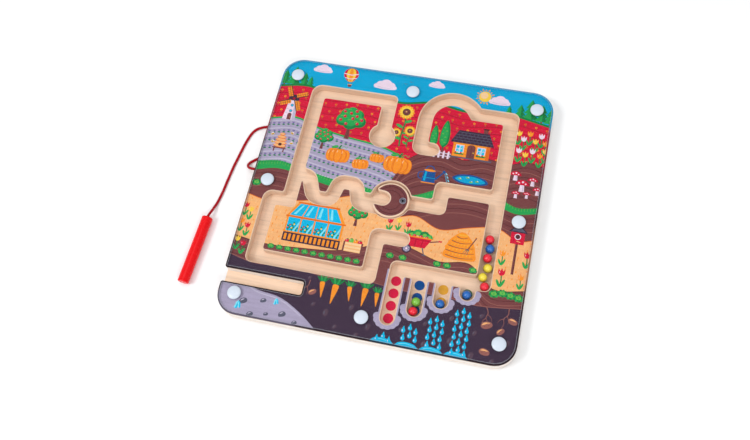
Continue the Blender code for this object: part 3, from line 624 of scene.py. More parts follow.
def turned(name, profile, materials, role, place=(0, 0, 0), axis=(0, 0, 1), sides=44, bands=()):
    """A solid turned round an axis, from (radius, height) points in millimetres. The given bands between them have
    the second material."""
    mesh = bmesh.new()
    rows = []
    for radius, height in profile:
        turns = circle_turns(sides) if radius else [(0, 0)]
        rows.append([mesh.verts.new((radius * MM * x, radius * MM * y, height * MM)) for x, y in turns])
    closed = profile[0][0] > 0
    for band, (lower, upper) in enumerate(zip(rows, rows[1:] + rows[:1] if closed else rows[1:])):
        for index in range(sides):
            after = (index + 1) % sides
            quad = [lower[index % len(lower)], lower[after % len(lower)],
                    upper[after % len(upper)], upper[index % len(upper)]]
            face = mesh.faces.new(list(dict.fromkeys(quad)))
            face.smooth = True
            face.material_index = int(band in bands)
    bmesh.ops.recalc_face_normals(mesh, faces=mesh.faces)
    turn = Vector(axis).to_track_quat("Z", "Y").to_matrix().to_4x4()
    mesh.transform(Matrix.Translation(place) @ turn)
    return finished(name, mesh, materials, *role)


def corner(radius, height, size, start, steps=4):
    """Points of a quarter round of that size about a middle, from an angle in degrees up."""
    turns = (polar(size, size, start + 90 * i / steps) for i in range(steps + 1))
    return [(radius + across, height + up) for across, up in turns]


def tube(name, path, radius, material, sides=14, role=()):
    """A tube along a path, with UVs that count the braid's crossings."""
    mesh = bmesh.new()
    uv = mesh.loops.layers.uv.new("UVMap")
    rows = []
    travelled = lengths(path)
    normal = Vector((0, 0, 1))
    for before, here, after in through(path):
        along = (after - before).normalized()
        normal = (normal - along * normal.dot(along)).normalized()
        side = along.cross(normal)
        rows.append([mesh.verts.new(here + (normal * x + side * y) * radius) for x, y in circle_turns(sides)])
    for row, (lower, upper) in enumerate(zip(rows, rows[1:])):
        for k in range(sides):
            after = (k + 1) % sides
            face = mesh.faces.new((lower[k], upper[k], upper[after], lower[after]))
            face.smooth = True
            spots = ((k, row), (k, row + 1), (k + 1, row + 1), (k + 1, row))
            for loop, (across, at) in zip(face.loops, spots):
                loop[uv].uv = (4 * across / sides, travelled[at] / BRAID_PITCH)
    for row in (rows[0][::-1], rows[-1]):
        mesh.faces.new(row).smooth = False
    bmesh.ops.recalc_face_normals(mesh, faces=mesh.faces)
    return finished(name, mesh, [material], *role)


def evenly(points, step):
    """Points a step apart on the smooth curve through a route."""
    fine = smooth(points, closed=False, parts=14)
    travelled = lengths(fine)
    count = max(2, round(travelled[-1] / step))
    made, index = [], 0
    for number in range(count):
        target = travelled[-1] * number / count
        while travelled[index + 1] < target:
            index += 1
        share = (target - travelled[index]) / (travelled[index + 1] - travelled[index])
        made.append(fine[index].lerp(fine[index + 1], share))
    return made + [fine[-1]]


# The printed picture

class Brush:
    """Draws coloured shapes into one list, in millimetres, from a place and at a size and a tilt of its own."""

    def __init__(self, art, x=0, y=0, size=1, tilt=0):
        self.art, self.x, self.y = art, x, y
        self.across, self.up = polar(size, size, tilt)

    def at(self, x, y, size=1, tilt=0):
        return Brush(self.art, x, y, size, tilt)

    def part(self, x, y, tilt):
        """A brush for a part that has its own tilt, at a place of this one's."""
        return self.at(self.x + x * self.across, self.y + y * self.across, self.across, tilt)

    def each(self, draw, *spots, **more):
        """The same thing at several spots, each with x, y and, if need be, a size and a tilt."""
        for spot in spots:
            draw(self.at(*spot), **more)

    def shape(self, colour, points):
        self.art.append((colour, [
            (self.x + self.across * u - self.up * v, self.y + self.up * u + self.across * v) for u, v in points]))

    def blob(self, colour, points, parts=5):
        self.shape(colour, smooth(points, parts=parts))

    def oval(self, colour, *place, **more):
        self.shape(colour, ellipse(*place, **more))

    def line(self, colour, points, width, tip=None):
        self.shape(colour, stroke(smooth(points, False, 5) if len(points) > 2 else points, width, tip))

    def box(self, colour, left, low, right, high):
        self.shape(colour, [(left, low), (right, low), (right, high), (left, high)])

    def band(self, colour, half, low, high, end=None):
        """A box about the middle line, or a trapezoid if its far end has another half width."""
        end = half if end is None else end
        self.shape(colour, [(-half, low), (half, low), (end, high), (-end, high)])

    def tent(self, colour, half, low, high, right=None):
        self.shape(colour, [(-half, low), (half if right is None else right, low), (0, high)])

    def land(self, colour, crest, floor=-PRINT_REACH):
        self.shape(colour, smooth(crest, closed=False) + [(crest[-1][0], floor), (crest[0][0], floor)])

    def ground(self, edge, rise, colour, crest, floor=-PRINT_REACH):
        """Land with a thin edge of another colour along its crest."""
        self.land(edge, raised(crest, rise), floor)
        self.land(colour, crest, floor)

    def furrows(self, colours, crest, drop, count, width):
        """Lines below a crest, which take turns in colour."""
        for row in range(1, count + 1):
            self.line(colours[row % len(colours)], raised(crest, -drop * row), width)


def between(crest, x):
    """The height of a crest at x."""
    for (x0, y0), (x1, y1) in zip(crest, crest[1:]):
        if x0 <= x <= x1:
            return y0 + (y1 - y0) * (x - x0) / (x1 - x0)
    return crest[-1][1]


def row_below(crest, row, count, start, pitch, stagger, first, drop):
    """The number and place of each plant of a row below a crest, where every other row is staggered."""
    for step in range(count):
        x = start + pitch * step + stagger * (row % 2)
        yield step, x, between(crest, x) - first - drop * row


def draw_cloud(b):
    for x, y, r in ((-9, -0.6, 3.6), (-5, 2, 4.8), (0.8, 3.6, 6), (6.4, 1.6, 4.8), (10, -0.8, 3.2)):
        b.oval("cloud", x, y, r, r * 0.82)
    b.oval("cloud", 0.5, -1.6, 12.6, 2.6)
    b.line("pale_lavender", [(-8, -1.4), (-3, -2.4), (4, -2.3), (9, -1.3)], 0.7, 0.3)


def draw_balloon(b):
    for x in (-2.2, 0, 2.2):
        b.line("dark_brown", [(x * 1.3, -6), (x * 0.7, -12)], 0.35)
    for colour, *half in (("red", (6.4, 6.4), (8.4, 0), (5.4, -5.4), (2.4, -8.6)),
                          ("yellow", (4.2, 6.2), (5.4, 0), (3.6, -5.4), (1.8, -8.6)),
                          ("orange", (1.7, 6), (2.2, 0), (1.5, -5.4), (0.9, -8.6))):
        b.blob(colour, mirrored([(0, 9)] + half))
    b.line("cloud", [(-8.2, 1.8), (0, 0.2), (8.2, 1.8)], 1.1)
    b.line("cloud", [(-6.6, -3.6), (0, -5), (6.6, -3.6)], 0.9)
    b.band("brown", 2.2, -12, -15.4, 1.8)
    b.band("sand", 2.5, -12.6, -11.8)


def draw_sun(b):
    for k in range(16):
        b.at(b.x, b.y, 1, 22.5 * k).shape("orange", [(7.6, -1), (10.6 if k % 2 else 9.2, 0), (7.6, 1)])
    b.oval("yellow", 0, 0, 7, count=36)
    b.oval("pale_sand", -1.2, 1.4, 4.4)


def draw_pine(b):
    b.band("brown", 0.9, -8, -3)
    for half, low, high in ((6.4, -4.4, 3), (5.2, 0, 7.4), (4, 4.4, 12)):
        b.tent("dark_green", half, low, high)
        b.tent("green", half, low, high, half * 0.1)


def draw_tree(b):
    b.shape("brown", [(-2.4, -19), (2.6, -19), (1.5, -8), (2.8, -1), (0.6, -5), (-2.8, -1), (-1.3, -8)])
    b.line("dark_brown", [(0.7, -18.6), (0.5, -12), (1, -6)], 0.5, 0.2)
    for x, y, r in ((-8, 1.5, 6.8), (8, 1.5, 6.8), (0, -1, 7.4), (-5, 8.4, 6.6), (5, 8.4, 6.6), (0, 11, 6)):
        b.oval("dark_green", x + 0.5, y - 0.7, r, r * 0.92)
    for x, y, r in ((-8, 2.4, 5.8), (7.4, 2.4, 5.6), (0, 0.4, 6.2), (-4.8, 9, 5.6), (4.6, 9, 5.4), (0, 11.6, 5)):
        b.oval("green", x, y, r, r * 0.9)
    for x, y in ((-9, 5), (-3, 13), (4, 12), (9.5, 4.4), (-5.5, 8.6), (1.5, 6.8), (-1, 1.6), (5.5, 0.4)):
        b.line("leaf", [(x - 1.5, y - 0.4), (x, y + 0.7), (x + 1.5, y - 0.2)], 0.8, 0.4)
    for x, y in ((-10, 1), (-6.4, 5.4), (-4, -2.6), (-1, 9.4), (1.6, 3.8),
                 (5.2, 6.8), (7, -1.2), (10.6, 3.2), (-7.4, 10.8), (4.2, 12.4)):
        b.oval("dark_red", x + 0.25, y - 0.3, 1.55, count=14)
        b.oval("red", x, y, 1.4, count=14)
        b.oval("cloud", x - 0.5, y + 0.5, 0.32, count=8)


def draw_pumpkin(b):
    for x, half in ((-7.2, 3.7), (7.2, 3.7), (-4, 4.1), (4, 4.1), (0, 3.9)):
        high = 7.4 - abs(x) * 0.16
        b.oval("dark_orange", x, 0, half + 0.45, high + 0.35)
        b.oval("orange", x, 0.1, half, high)
    for x in (-7.4, -3.1, 3.1, 7.4):
        rib = ((0.45, 6.2), (0.95, 3.4), (1.03, 0), (0.9, -3.6), (0.5, -6.4))
        b.line("dark_orange", [(x * share, y) for share, y in rib], 0.75, 0.4)
    for x, y in ((-8.8, 1.6), (-5, 3), (-0.9, 3.4), (3.9, 3)):
        b.line("pale_sand", [(x - 0.5, y - 0.6), (x - 0.4, y + 1), (x, y + 2)], 0.7, 0.3)
    b.shape("dark_green", [(-1.3, 6.4), (1.3, 6.4), (0.9, 8.4), (2.2, 10.6), (0.6, 11), (-0.6, 8.8)])
    b.line("green", [(1.4, 7.6), (4, 9.6), (6.4, 8.4), (7.2, 10.2)], 0.6, 0.3)
    b.oval("green", -4.2, 8.3, 3.2, 1.5, 18)
    b.line("leaf", [(-6.6, 7.6), (-2, 8.9)], 0.35)


def draw_sunflower(b, stem):
    b.line("dark_green", [(0, 0), (0.9, -stem * 0.35), (-0.6, -stem * 0.7), (0, -stem)], 1.5)
    for share, side in ((0.3, 1), (0.46, -1), (0.62, 1), (0.8, -1)):
        y = -stem * share
        b.oval("green", side * 4, y + 1.4, 4, 1.7, side * 24)
        b.line("leaf", [(side * 0.8, y), (side * 6.8, y + 2.6)], 0.4)
    for ring, (reach, long, colour) in enumerate(((6.1, 2.7, "orange"), (5.2, 2.5, "yellow"))):
        for k in range(14):
            angle = 360 * (k + ring / 2) / 14
            b.oval(colour, *polar(reach, reach, angle), long, 1.15, angle, 12)
    b.oval("dark_brown", 0, 0, 4.1, count=28)
    b.oval("brown", 0, 0, 3.2)
    for k in range(9):
        b.oval("dark_brown", 2 * math.cos(k * 0.7), 2 * math.sin(k * 0.7), 0.36, count=8)
    b.oval("sand", -0.3, 0.4, 0.8, count=12)


def draw_cottage(b):
    b.band("slate", 21, -13.6, -12)
    b.band("orange", 18, -12, 4)
    for y in (-9, -6, -3, 0, 3):
        b.band("dark_orange", 18, y, y + 0.45)
    b.box("dark_orange", 14.6, -12, 18, 4)
    b.box("brown", 9, 12, 13.4, 22)
    b.box("dark_brown", 8.4, 20.8, 14, 22.4)
    b.band("aubergine", 21.5, 3, 17, 15)
    for k in range(4):
        y = 5.6 + 3 * k
        half = 20.4 - 1.4 * k
        b.band("slate", half, y, y + 0.5)
        for step in range(-9 + k % 2, 10, 2):
            if abs(step * 2) < half - 1:
                b.box("slate", step * 2, y - 2.5, step * 2 + 0.4, y)
    b.band("brown", 4, -12, -0.6)
    b.oval("brown", 0, -0.6, 4, 3, count=20)
    b.band("dark_brown", 0.25, -12, 1.6)
    b.oval("yellow", 2.4, -6, 0.6, count=10)
    for x in (-11.2, 9.8):
        b.box("cloud", x - 4.1, -7.6, x + 4.1, 1)
        b.box("cyan", x - 3.3, -6.8, x + 3.3, 0.2)
        b.shape("pale_cyan", [(x - 2.8, -6.8), (x - 1.3, -6.8), (x + 1.9, 0.2), (x + 0.4, 0.2)])
        b.shape("pale_cyan", [(x - 0.4, -6.8), (x + 0.2, -6.8), (x + 3, -0.8), (x + 3, 0.2), (x + 2.6, 0.2)])
        b.box("cloud", x - 0.3, -6.8, x + 0.3, 0.2)
        b.box("cloud", x - 3.3, -3.5, x + 3.3, -3)
        b.box("dark_green", x - 4.4, -9.6, x + 4.4, -7.6)
        for step in range(5):
            b.oval(("red", "yellow", "cloud")[step % 3], x - 3.4 + 1.7 * step, -7.4, 0.85, count=10)


def draw_greenhouse(b):
    b.band("aubergine", 28, -17, -8)
    for k in range(13):
        b.box("orange", -26.4 + 4.2 * k, -15.6, -24 + 4.2 * k, -9.4)
    b.band("orange", 28, -8, 9)
    b.band("orange", 29.5, 8, 24, 20)
    for k in range(4):
        x = -26.4 + 13.4 * k
        b.box("cyan", x, -6.6, x + 12, 7.4)
        for step, (stem, fruit) in enumerate(((7, "red"), (9.6, "yellow"), (8, "red"))):
            at = x + 2.2 + 3.8 * step
            b.line("dark_green", [(at, -6.6), (at + 0.4, -6.6 + stem)], 0.7)
            for leaf in range(4):
                side = 1 if leaf % 2 else -1
                b.oval("dark_green", at + side * 0.9, -4.6 + leaf * stem / 4.6, 1.1, 0.6, side * 30, 10)
            for berry, out in enumerate((-0.8, 0.9)):
                b.oval(fruit, at + out, -3.4 + berry * stem * 0.42, 0.85, count=10)
        b.shape("pale_cyan", [(x + 6.4, -6.6), (x + 8.2, -6.6), (x + 11.6, 1), (x + 11.6, 5)])
        left, right = -26.2 + 13.1 * k, -14.2 + 13.1 * k
        b.shape("cyan", [(left, 9.6), (right, 9.6), (right * 0.7, 22.6), (left * 0.7, 22.6)])
        shine = ((0.93, 1.6, 11), (0.93, 4.2, 11), (0.72, 4.8, 21.4), (0.72, 3.2, 21.4))
        b.shape("pale_cyan", [(left * share + out, y) for share, out, y in shine])
    b.band("dark_orange", 29.5, 7.6, 9.2)
    b.band("dark_orange", 20.6, 22.8, 24.6)


def draw_wheelbarrow(b):
    for x, y, r, colour in ((-9, 8, 5, "dark_green"), (-2, 10, 5.6, "green"),
                            (6.4, 9, 5.4, "dark_green"), (12, 7.4, 4, "green")):
        for angle in range(0, 210, 30):
            u, v = polar(r * 0.5, r * 0.5, angle)
            b.oval(colour, x + u, y + v, r * 0.62, r * 0.4, angle, 14)
        b.oval("leaf", x, y + 0.8, r * 0.5, r * 0.42, count=16)
    for x, y in ((-5.4, 7.2), (2.4, 7), (9.4, 6.4), (-12, 6.8)):
        b.oval("red", x, y, 2.2, count=18)
        b.oval("cloud", x - 0.7, y + 0.8, 0.45, count=8)
    b.line("brown", [(10, 1.5), (25, 5.2)], 1.5)
    b.box("red", 23.6, 4.4, 27.6, 6.2)
    b.shape("red", [(-17, 6.4), (16, 6.4), (9, -6.4), (-9, -6.4)])
    b.shape("dark_red", [(-15.4, 3.8), (14.6, 3.8), (13.8, 2.6), (-14.6, 2.6)])
    b.shape("dark_red", [(-3.5, 2.6), (-2.3, 2.6), (-2.5, -6.4), (-3.5, -6.4)])
    b.shape("dark_red", [(5.2, 2.6), (6.4, 2.6), (4.4, -6.4), (3.4, -6.4)])
    b.box("orange", -17.6, 5.4, 16.6, 6.9)
    b.line("slate", [(6.4, -6), (9.4, -14.6)], 1.3)
    b.box("slate", 7, -15.4, 12, -14.2)
    b.line("slate", [(-9, -5.4), (-11.6, -10)], 1.4)
    b.oval("aubergine", -11.8, -10, 5.6, count=32)
    b.oval("lavender", -11.8, -10, 3.9, count=28)
    for k in range(6):
        b.part(-11.8, -10, 60 * k).box("slate", 0, -0.3, 3.9, 0.3)
    b.oval("cloud", -11.8, -10, 1.3, count=16)


def draw_haystack(b):
    b.blob("orange", mirrored([(-13, -12), (-14, -4), (-11, 5), (-5, 12), (0, 14.5)]))
    for k, half in enumerate((12.6, 13, 11.6, 8.8, 5)):
        y = -9.5 + 4.8 * k
        b.line("brown", mirrored([(-half, y), (-half / 2, y - 1.1), (0, y - 1.5)]), 0.7, 0.4)
        for step in range(-3, 4):
            x = step * half / 4
            b.line("yellow", [(x, y + 1), (x + 0.7, y + 2.8)], 0.6, 0.2)
    b.line("brown", [(13, 11), (6, -3)], 1)
    for prong in ([(6.8, -1.4), (4.4, -6.6)], [(6, -1), (2.6, -5.4)], [(7.6, -1.8), (6.6, -7)]):
        b.line("slate", prong, 0.6, 0.3)
    b.line("slate", [(5.6, -0.9), (8.2, -2.2)], 0.7)


def draw_windmill(b):
    b.band("pale_lavender", 7.6, -21, 6, 4.6)
    b.shape("cloud", [(-7.6, -21), (3.6, -21), (2.2, 6), (-4.6, 6)])
    for y in (-17.4, -12.4, -7.4, -2.4):
        b.box("pale_lavender", -5.8, y, -3.6, y + 0.5)
        b.box("pale_lavender", -1.2, y - 2.2, 1.4, y - 1.7)
    b.blob("aubergine", [(-6, 5), (-5.4, 9.4), (0, 12.4), (5.4, 9.4), (6, 5), (0, 4.4)])
    b.band("brown", 2.4, -21, -14.6)
    b.oval("brown", 0, -14.6, 2.4, count=16)
    b.oval("yellow", 1.3, -17.8, 0.45, count=8)
    for y in (-9.4, -2):
        b.oval("slate", 0, y, 1.9, count=16)
        b.oval("cyan", 0, y, 1.3, count=14)
    for k in range(4):
        sail = b.part(0, 7, 22 + 90 * k)
        sail.shape("orange", [(3.4, 0), (17, 0), (17, 5.2), (4.4, 5.2)])
        for step in range(5):
            sail.box("dark_brown", 5.4 + 2.6 * step, 0, 5.8 + 2.6 * step, 5.2)
        sail.box("dark_brown", 4, 2.5, 17, 2.9)
        sail.box("dark_brown", 0, -0.5, 17.6, 0.5)
    b.oval("dark_red", 0, 7, 1.5, count=16)


def draw_hive(b):
    b.band("brown", 7.5, -12, -10.6)
    b.box("brown", -6, -16, -4.6, -12)
    b.box("brown", 4.6, -16, 6, -12)
    for k, (half, high) in enumerate(((7.2, 2.2), (7, 2.2), (6.2, 2.1), (5, 2), (3.2, 1.8))):
        y = -8.6 + 3.5 * k
        b.oval("dark_orange", 0, y, half, high, count=22)
        b.oval("sand", -0.2, y + 0.25, half - 0.6, high - 0.5, count=22)
    b.oval("dark_brown", 0, -7, 2, 1.8, count=16)
    for x, y, turn in ((-11, 4, 20), (10, 8, -25), (12, -4, 10), (-9, -5, -15)):
        bee = b.part(x, y, turn)
        bee.oval("cloud", -0.4, 1.2, 0.7, 1.2, -20, 12)
        bee.oval("cloud", 0.8, 1.2, 0.7, 1.2, 15, 12)
        bee.oval("yellow", 0, 0, 1.8, 1.1, count=14)
        for stripe in (-0.7, 0.4):
            bee.box("dark_brown", stripe, -1, stripe + 0.5, 1)


def draw_tulip(b, colour, stem=10):
    b.line("dark_green", [(0, 0), (0.4, -stem / 2), (0, -stem)], 0.8)
    b.oval("green", 1.5, -stem * 0.72, 0.9, 3.2, -24, 12)
    b.oval("green", -1.4, -stem * 0.76, 0.9, 2.8, 26, 12)
    b.blob(colour, mirrored([(0, -1.6), (2.1, 0), (2.2, 3.4), (1, 1.8), (0, 3.8)]), 4)
    b.line("cloud", [(-1.2, 0.2), (-1.3, 1.4)], 0.3)


def draw_mushroom(b):
    b.band("cloud", 1.4, 0, -5, 1.9)
    b.line("pale_lavender", [(0.6, -0.4), (0.9, -4.6)], 0.5)
    b.oval("dark_red", 0, 0, 5, 4, end=180)
    b.oval("red", -0.4, 0.3, 4.3, 3.4, end=180)
    for x, y, r in ((-2.3, 1.5, 0.7), (0.2, 2.4, 0.8), (2.2, 1.2, 0.6)):
        b.oval("cloud", x, y, r, count=10)


def draw_lettuce(b):
    for k in range(9):
        b.oval("dark_green" if k % 2 else "green", *polar(2.6, 1.7, 40 * k), 2, 1.3, 40 * k, 12)
    b.oval("leaf", 0, 0.3, 2.4, 1.7, count=16)
    for k in range(3):
        b.line("green", [(0, -0.8), (1.1 * (k - 1), 1.4)], 0.3)


def draw_carrot(b):
    for k in range(5):
        b.part(0, 0, 22 * (k - 2)).oval("green" if k % 2 else "dark_green", 0, 5, 0.8, 3.6, count=12)
    b.blob("orange", [(-2.3, 0.6), (0, 1.4), (2.3, 0.6), (2.2, -3), (1.2, -9), (0, -14.5), (-1.2, -9), (-2.2, -3)])
    for x, y, w in ((-1.9, -2, 1.6), (0.7, -4.4, 1.2), (-1.3, -7, 1.1), (0.2, -9.4, 0.9)):
        b.box("dark_orange", x, y, x + w, y + 0.4)


def draw_tuber(b):
    b.blob("light_brown", [(-4.6, -0.6), (-3, 2.4), (0.6, 2.9), (4, 1.8), (4.8, -0.8), (2.4, -2.7), (-2, -2.9)], 4)
    b.blob("sand", [(-3.6, 0.2), (-2, 1.9), (0.6, 2.2), (3, 1.3), (0, 0.8)], 4)
    for x, y in ((-1.6, -1), (1.8, -0.6), (0.2, 0.4)):
        b.oval("dark_brown", x, y, 0.45, 0.25, count=8)


def draw_root(b):
    b.line("light_brown", [(0, 4), (1.4, -2), (-0.8, -7), (1, -12), (0.4, -17)], 0.9, 0.3)
    b.line("light_brown", [(0.6, -3), (4, -7), (4.6, -11)], 0.6, 0.2)
    b.line("light_brown", [(-0.4, -7), (-4, -10), (-5, -14)], 0.6, 0.2)


def draw_stone(b, dark="light_aubergine", light="slate"):
    b.blob(dark, [(-3.4, -1.6), (-3, 1), (-0.6, 2.4), (2.4, 1.8), (3.6, -0.4), (2, -2.2), (-1, -2.4)], 4)
    b.blob(light, [(-2.2, 0.4), (-0.6, 1.6), (1.4, 1.2), (0, 0.6)], 3)


def draw_crystal(b):
    b.shape("cyan", [(-1.6, 0), (1.6, 0), (1.7, 6), (0, 9), (-1.7, 6)])
    b.shape("pale_cyan", [(-1.6, 0), (-0.2, 0), (0, 9), (-1.7, 6)])


def draw_can(b):
    b.line("blue", [(8, -3), (13, 3), (17, 8)], 2.2, 1.5)
    b.shape("blue", [(15, 8.8), (18.6, 6.4), (19.8, 9.2), (17, 11)])
    b.line("blue", [(-7, 5), (-13, 3.4), (-12.6, -3), (-7, -5)], 1.3)
    b.line("blue", [(-6, 8), (-3, 13.4), (3, 13.4), (6, 8)], 1.2)
    b.band("blue", 8.4, -8.6, 8, 7)
    b.shape("sky", [(-6.4, -6.6), (-3.6, -6.6), (-3.2, 6), (-5.4, 6)])
    b.oval("orange", 0, 8, 7.2, 1.6)
    b.band("orange", 8.6, -9.6, -8.2)
    b.line("sky", [(-7.9, -2), (7.9, -2)], 0.7)
    for k in range(7):
        b.oval("pale_cyan", 20.4 + 0.9 * k, 7.2 - 2.1 * k + (k % 2), 0.6, 1, 20, 10)
        b.oval("cyan", 19 + 0.9 * k, 5.6 - 2.2 * k, 0.5, 0.9, 20, 10)


def draw_pond(b):
    b.blob("blue", [(58, 36), (66, 41), (80, 42), (92, 39), (95, 34), (84, 31), (68, 31)])
    b.blob("sky", [(61, 36), (68, 39.4), (80, 40.2), (90, 37.6), (92, 34.6), (82, 32.4), (69, 32.6)])
    for x, y in ((66, 36), (74, 38.4), (84, 35.4), (78, 34)):
        b.oval("leaf", x, y, 2, 0.9, count=14)
        b.oval("cloud", x + 0.6, y + 0.7, 0.7, 0.5, count=8)


def draw_poplar(b):
    b.band("brown", 0.9, -17, -8)
    b.blob("dark_green", mirrored([(0, 14), (3, 8), (4.2, 0), (3.6, -8), (0, -12)]))
    b.blob("green", [(-0.5, 12.6), (1.8, 7), (2.6, 0), (2, -7.4), (-0.8, -10.6), (-3.2, -7), (-3.7, 0), (-2.6, 7)])
    for x, y in ((-1.4, 7), (0.8, 4), (-2, 1), (0.4, -2), (-1.8, -5), (0.6, -7)):
        b.line("leaf", [(x - 0.9, y - 0.8), (x, y), (x + 0.9, y - 0.8)], 0.5)


def draw_fence(b, posts):
    for y in (-1.6, 1.8):
        b.band("cloud", 2.6 * posts, y, y + 1)
    for k in range(posts):
        x = 5.2 * (k - (posts - 1) / 2)
        b.shape("cloud", [(x - 1.2, -4), (x + 1.2, -4), (x + 1.2, 4), (x, 5.8), (x - 1.2, 4)])
        b.box("pale_lavender", x + 0.7, -4, x + 1.2, 4)


def draw_birdhouse(b):
    b.band("brown", 1.1, -34, -5)
    b.box("dark_brown", 0.3, -34, 1.1, -5)
    b.band("red", 6, -6, 6)
    for x in (-3.4, -0.6, 2.2):
        b.box("dark_red", x, -6, x + 0.4, 6)
    b.tent("aubergine", 8.6, 5, 13.4)
    b.tent("slate", 6.2, 6, 12)
    b.oval("cloud", 0, 1, 2.8, count=20)
    b.oval("dark_brown", 0, 1, 2.1, count=18)
    b.band("sand", 0.5, -3.6, -2.8)
    b.line("sand", [(0, -3.2), (2.8, -3.8)], 0.7)


def draw_drop(b):
    b.blob("cyan", mirrored([(0, 3.4), (0.9, 1.2), (1.9, -0.8), (1.3, -2.4), (0, -3)]), 3)
    b.oval("cloud", -0.8, -0.9, 0.35, 0.8, 10, 8)


def draw_bird(b):
    b.line("slate", [(-2.2, 0.5), (-1, 1.2), (0, 0), (1, 1.2), (2.2, 0.5)], 0.4, 0.3)


def draw_crate(b):
    for x, y, r, colour in ((-8, 6, 3, "red"), (-3, 6.8, 3.2, "leaf"), (2.6, 6.4, 3, "orange"), (7.8, 6, 3, "red")):
        b.oval(colour, x, y, r, count=18)
        b.oval("cloud", x - 1, y + 1.1, 0.5, count=8)
        b.oval("dark_green", x, y + r - 0.2, 1.3, 0.6, count=10)
    b.band("sand", 12, -7, 5)
    for y in (-6.2, -2.2, 1.8):
        b.band("pale_sand", 12, y, y + 2.6)
    for x in (-12, 10):
        b.box("brown", x, -7.6, x + 2, 5.6)
    for y in (-5, -1, 3):
        for x in (-11, 11):
            b.oval("dark_brown", x, y, 0.4, count=8)


def draw_sky(b):
    b.box("sky", -PRINT_REACH, -PRINT_REACH, PRINT_REACH, PRINT_REACH)
    b.each(draw_sun, (76, 137, 0.95))
    b.each(draw_cloud, (-107, 141, 0.85), (-34, 132), (22, 142, 0.7), (92, 133, 0.9))
    b.each(draw_balloon, (-74, 139.5, 0.98, 4))
    b.each(draw_bird, (-6, 141), (2, 136), (-12, 138))
    b.each(draw_pine, (-146, 122, 1.1), (-136, 124, 1.4), (-124, 122, 1.05), (-117, 121, 0.8),
           (116, 121, 1.1), (127, 124, 1.5), (139, 122, 1.25), (148, 120, 1.1), (104, 122, 0.7))


def draw_land(b):
    """The fields one below the other: poppies, lavender, ploughed earth, grass, wheat, a vegetable bed and the deep
    ground with its rock."""
    poppies = [(-152, 112), (-120, 117), (-88, 112), (-50, 118), (-12, 113), (24, 119), (60, 114), (100, 119),
               (152, 110)]
    b.ground("dark_green", 2.6, "red", poppies)
    b.furrows(["dark_red"], poppies, 8.5, 7, 0.9)
    for row in range(7):
        for step, x, y in row_below(poppies, row, 26, -146, 11.7, 5.4, 4.6, 8.5):
            poppy = b.at(x, y, 0.9)
            poppy.line("dark_green", [(0, 0), (0.3, -3)], 0.4)
            poppy.oval("dark_orange" if step % 3 else "orange", 0, 0.3, 1.5, 1.2, count=12)
            poppy.oval("dark_brown", 0, 0.4, 0.45, count=8)

    lavender = [(-152, 70), (-122, 76), (-96, 68), (-62, 62), (-28, 58), (-6, 52), (14, 42), (34, 28), (48, 4)]
    b.ground("green", 2, "lavender", lavender, -40)
    for row in range(6):
        b.line("pale_lavender", [(x, y - 3 - 9.5 * row) for x, y in lavender], 1.6)
        for _, x, y in row_below(lavender, row, 38, -149, 5.2, 2.6, 6.4, 9.5):
            b.at(x, y, 0.95).oval("dark_green", 0, -1.1, 1.7, 0.8, count=10)
            for lean in (-24, 0, 24):
                b.at(x, y - 0.8, 0.95, lean).oval("violet", 0, 1.9, 0.5, 1.5, count=8)

    earth = [(-4, 20), (6, 44), (22, 58), (44, 63), (66, 57), (88, 63), (112, 60), (132, 66), (152, 62)]
    b.ground("dark_brown", 0.8, "brown", earth, -40)
    b.furrows(["light_brown", "dark_brown"], earth, 5.6, 7, 0.8)

    grass = [(-152, 18), (-126, 23), (-100, 18), (-66, 12), (-30, 9), (0, 4), (26, 10), (54, 24), (80, 29), (104, 24),
             (128, 14), (152, 18)]
    soil = [(x, y - 8.5 + 2.2 * math.sin(x)) for x, y in grass]
    b.land("green", grass, -60)
    b.land("brown", soil, -90)
    for x in range(-150, 152, 3):
        y = between(grass, x)
        b.line("dark_green", [(x, y - 1.6), (x + 0.4, y + 1.5)], 0.7, 0.2)
        b.line("leaf", [(x + 1.4, y - 3.4), (x + 1, y - 0.8)], 0.6, 0.2)
    b.furrows(["light_brown", "dark_brown"], soil, 5, 4, 0.7)

    wheat = [(-152, -20), (-124, -25), (-98, -20), (-64, -12), (-36, -3), (-14, -8), (8, -18), (30, -14), (56, -24),
             (84, -17), (112, -12), (134, -22), (152, -18)]
    b.ground("dark_orange", 0.8, "sand", wheat, -90)
    for row in range(7):
        for step, x, y in row_below(wheat, row, 58, -149, 5.2, 2.6, 5, 7.4):
            b.line("pale_sand" if (step + row) % 3 else "dark_orange", [(x, y - 1.8), (x + 0.4, y + 1.8)], 0.5, 0.3)
            if (step + row) % 2:
                b.oval("orange", x + 0.5, y + 2, 0.6, 1.3, -10, 8)

    bed = [(-152, -68), (-118, -72), (-80, -70), (-44, -66), (-14, -56), (6, -44), (34, -50), (62, -58), (92, -55),
           (118, -76), (152, -72)]
    b.ground("dark_brown", 0.9, "brown", bed)
    b.furrows(["dark_brown", "light_brown"], bed, 4.6, 5, 0.7)
    b.ground("light_brown", 0.7, "aubergine", [
        (-152, -88), (-120, -94), (-84, -91), (-44, -95), (-8, -91), (30, -94), (70, -92), (106, -95), (152, -90)])

    rock = [(-152, -108), (-134, -111), (-112, -120), (-86, -124), (-62, -136), (-40, -152)]
    b.land("lavender", rock)
    b.line("pale_lavender", [(x + 1, y - 2.4) for x, y in rock[:-1]], 1)
    for x, y, size in ((-140, -114, 1), (-122, -134, 1.2), (-102, -130, 0.9), (-80, -140, 1.1),
                       (-112, -146, 1), (-66, -146, 0.8), (-96, -143, 0.7)):
        draw_stone(b.at(x, y, size, 20 * size), "slate", "pale_lavender")
    b.each(draw_crystal, (-128, -143, 1, -12), (-124, -142, 0.8, 14), (-90, -132, 0.8, -8), (-87, -131, 0.65, 16))


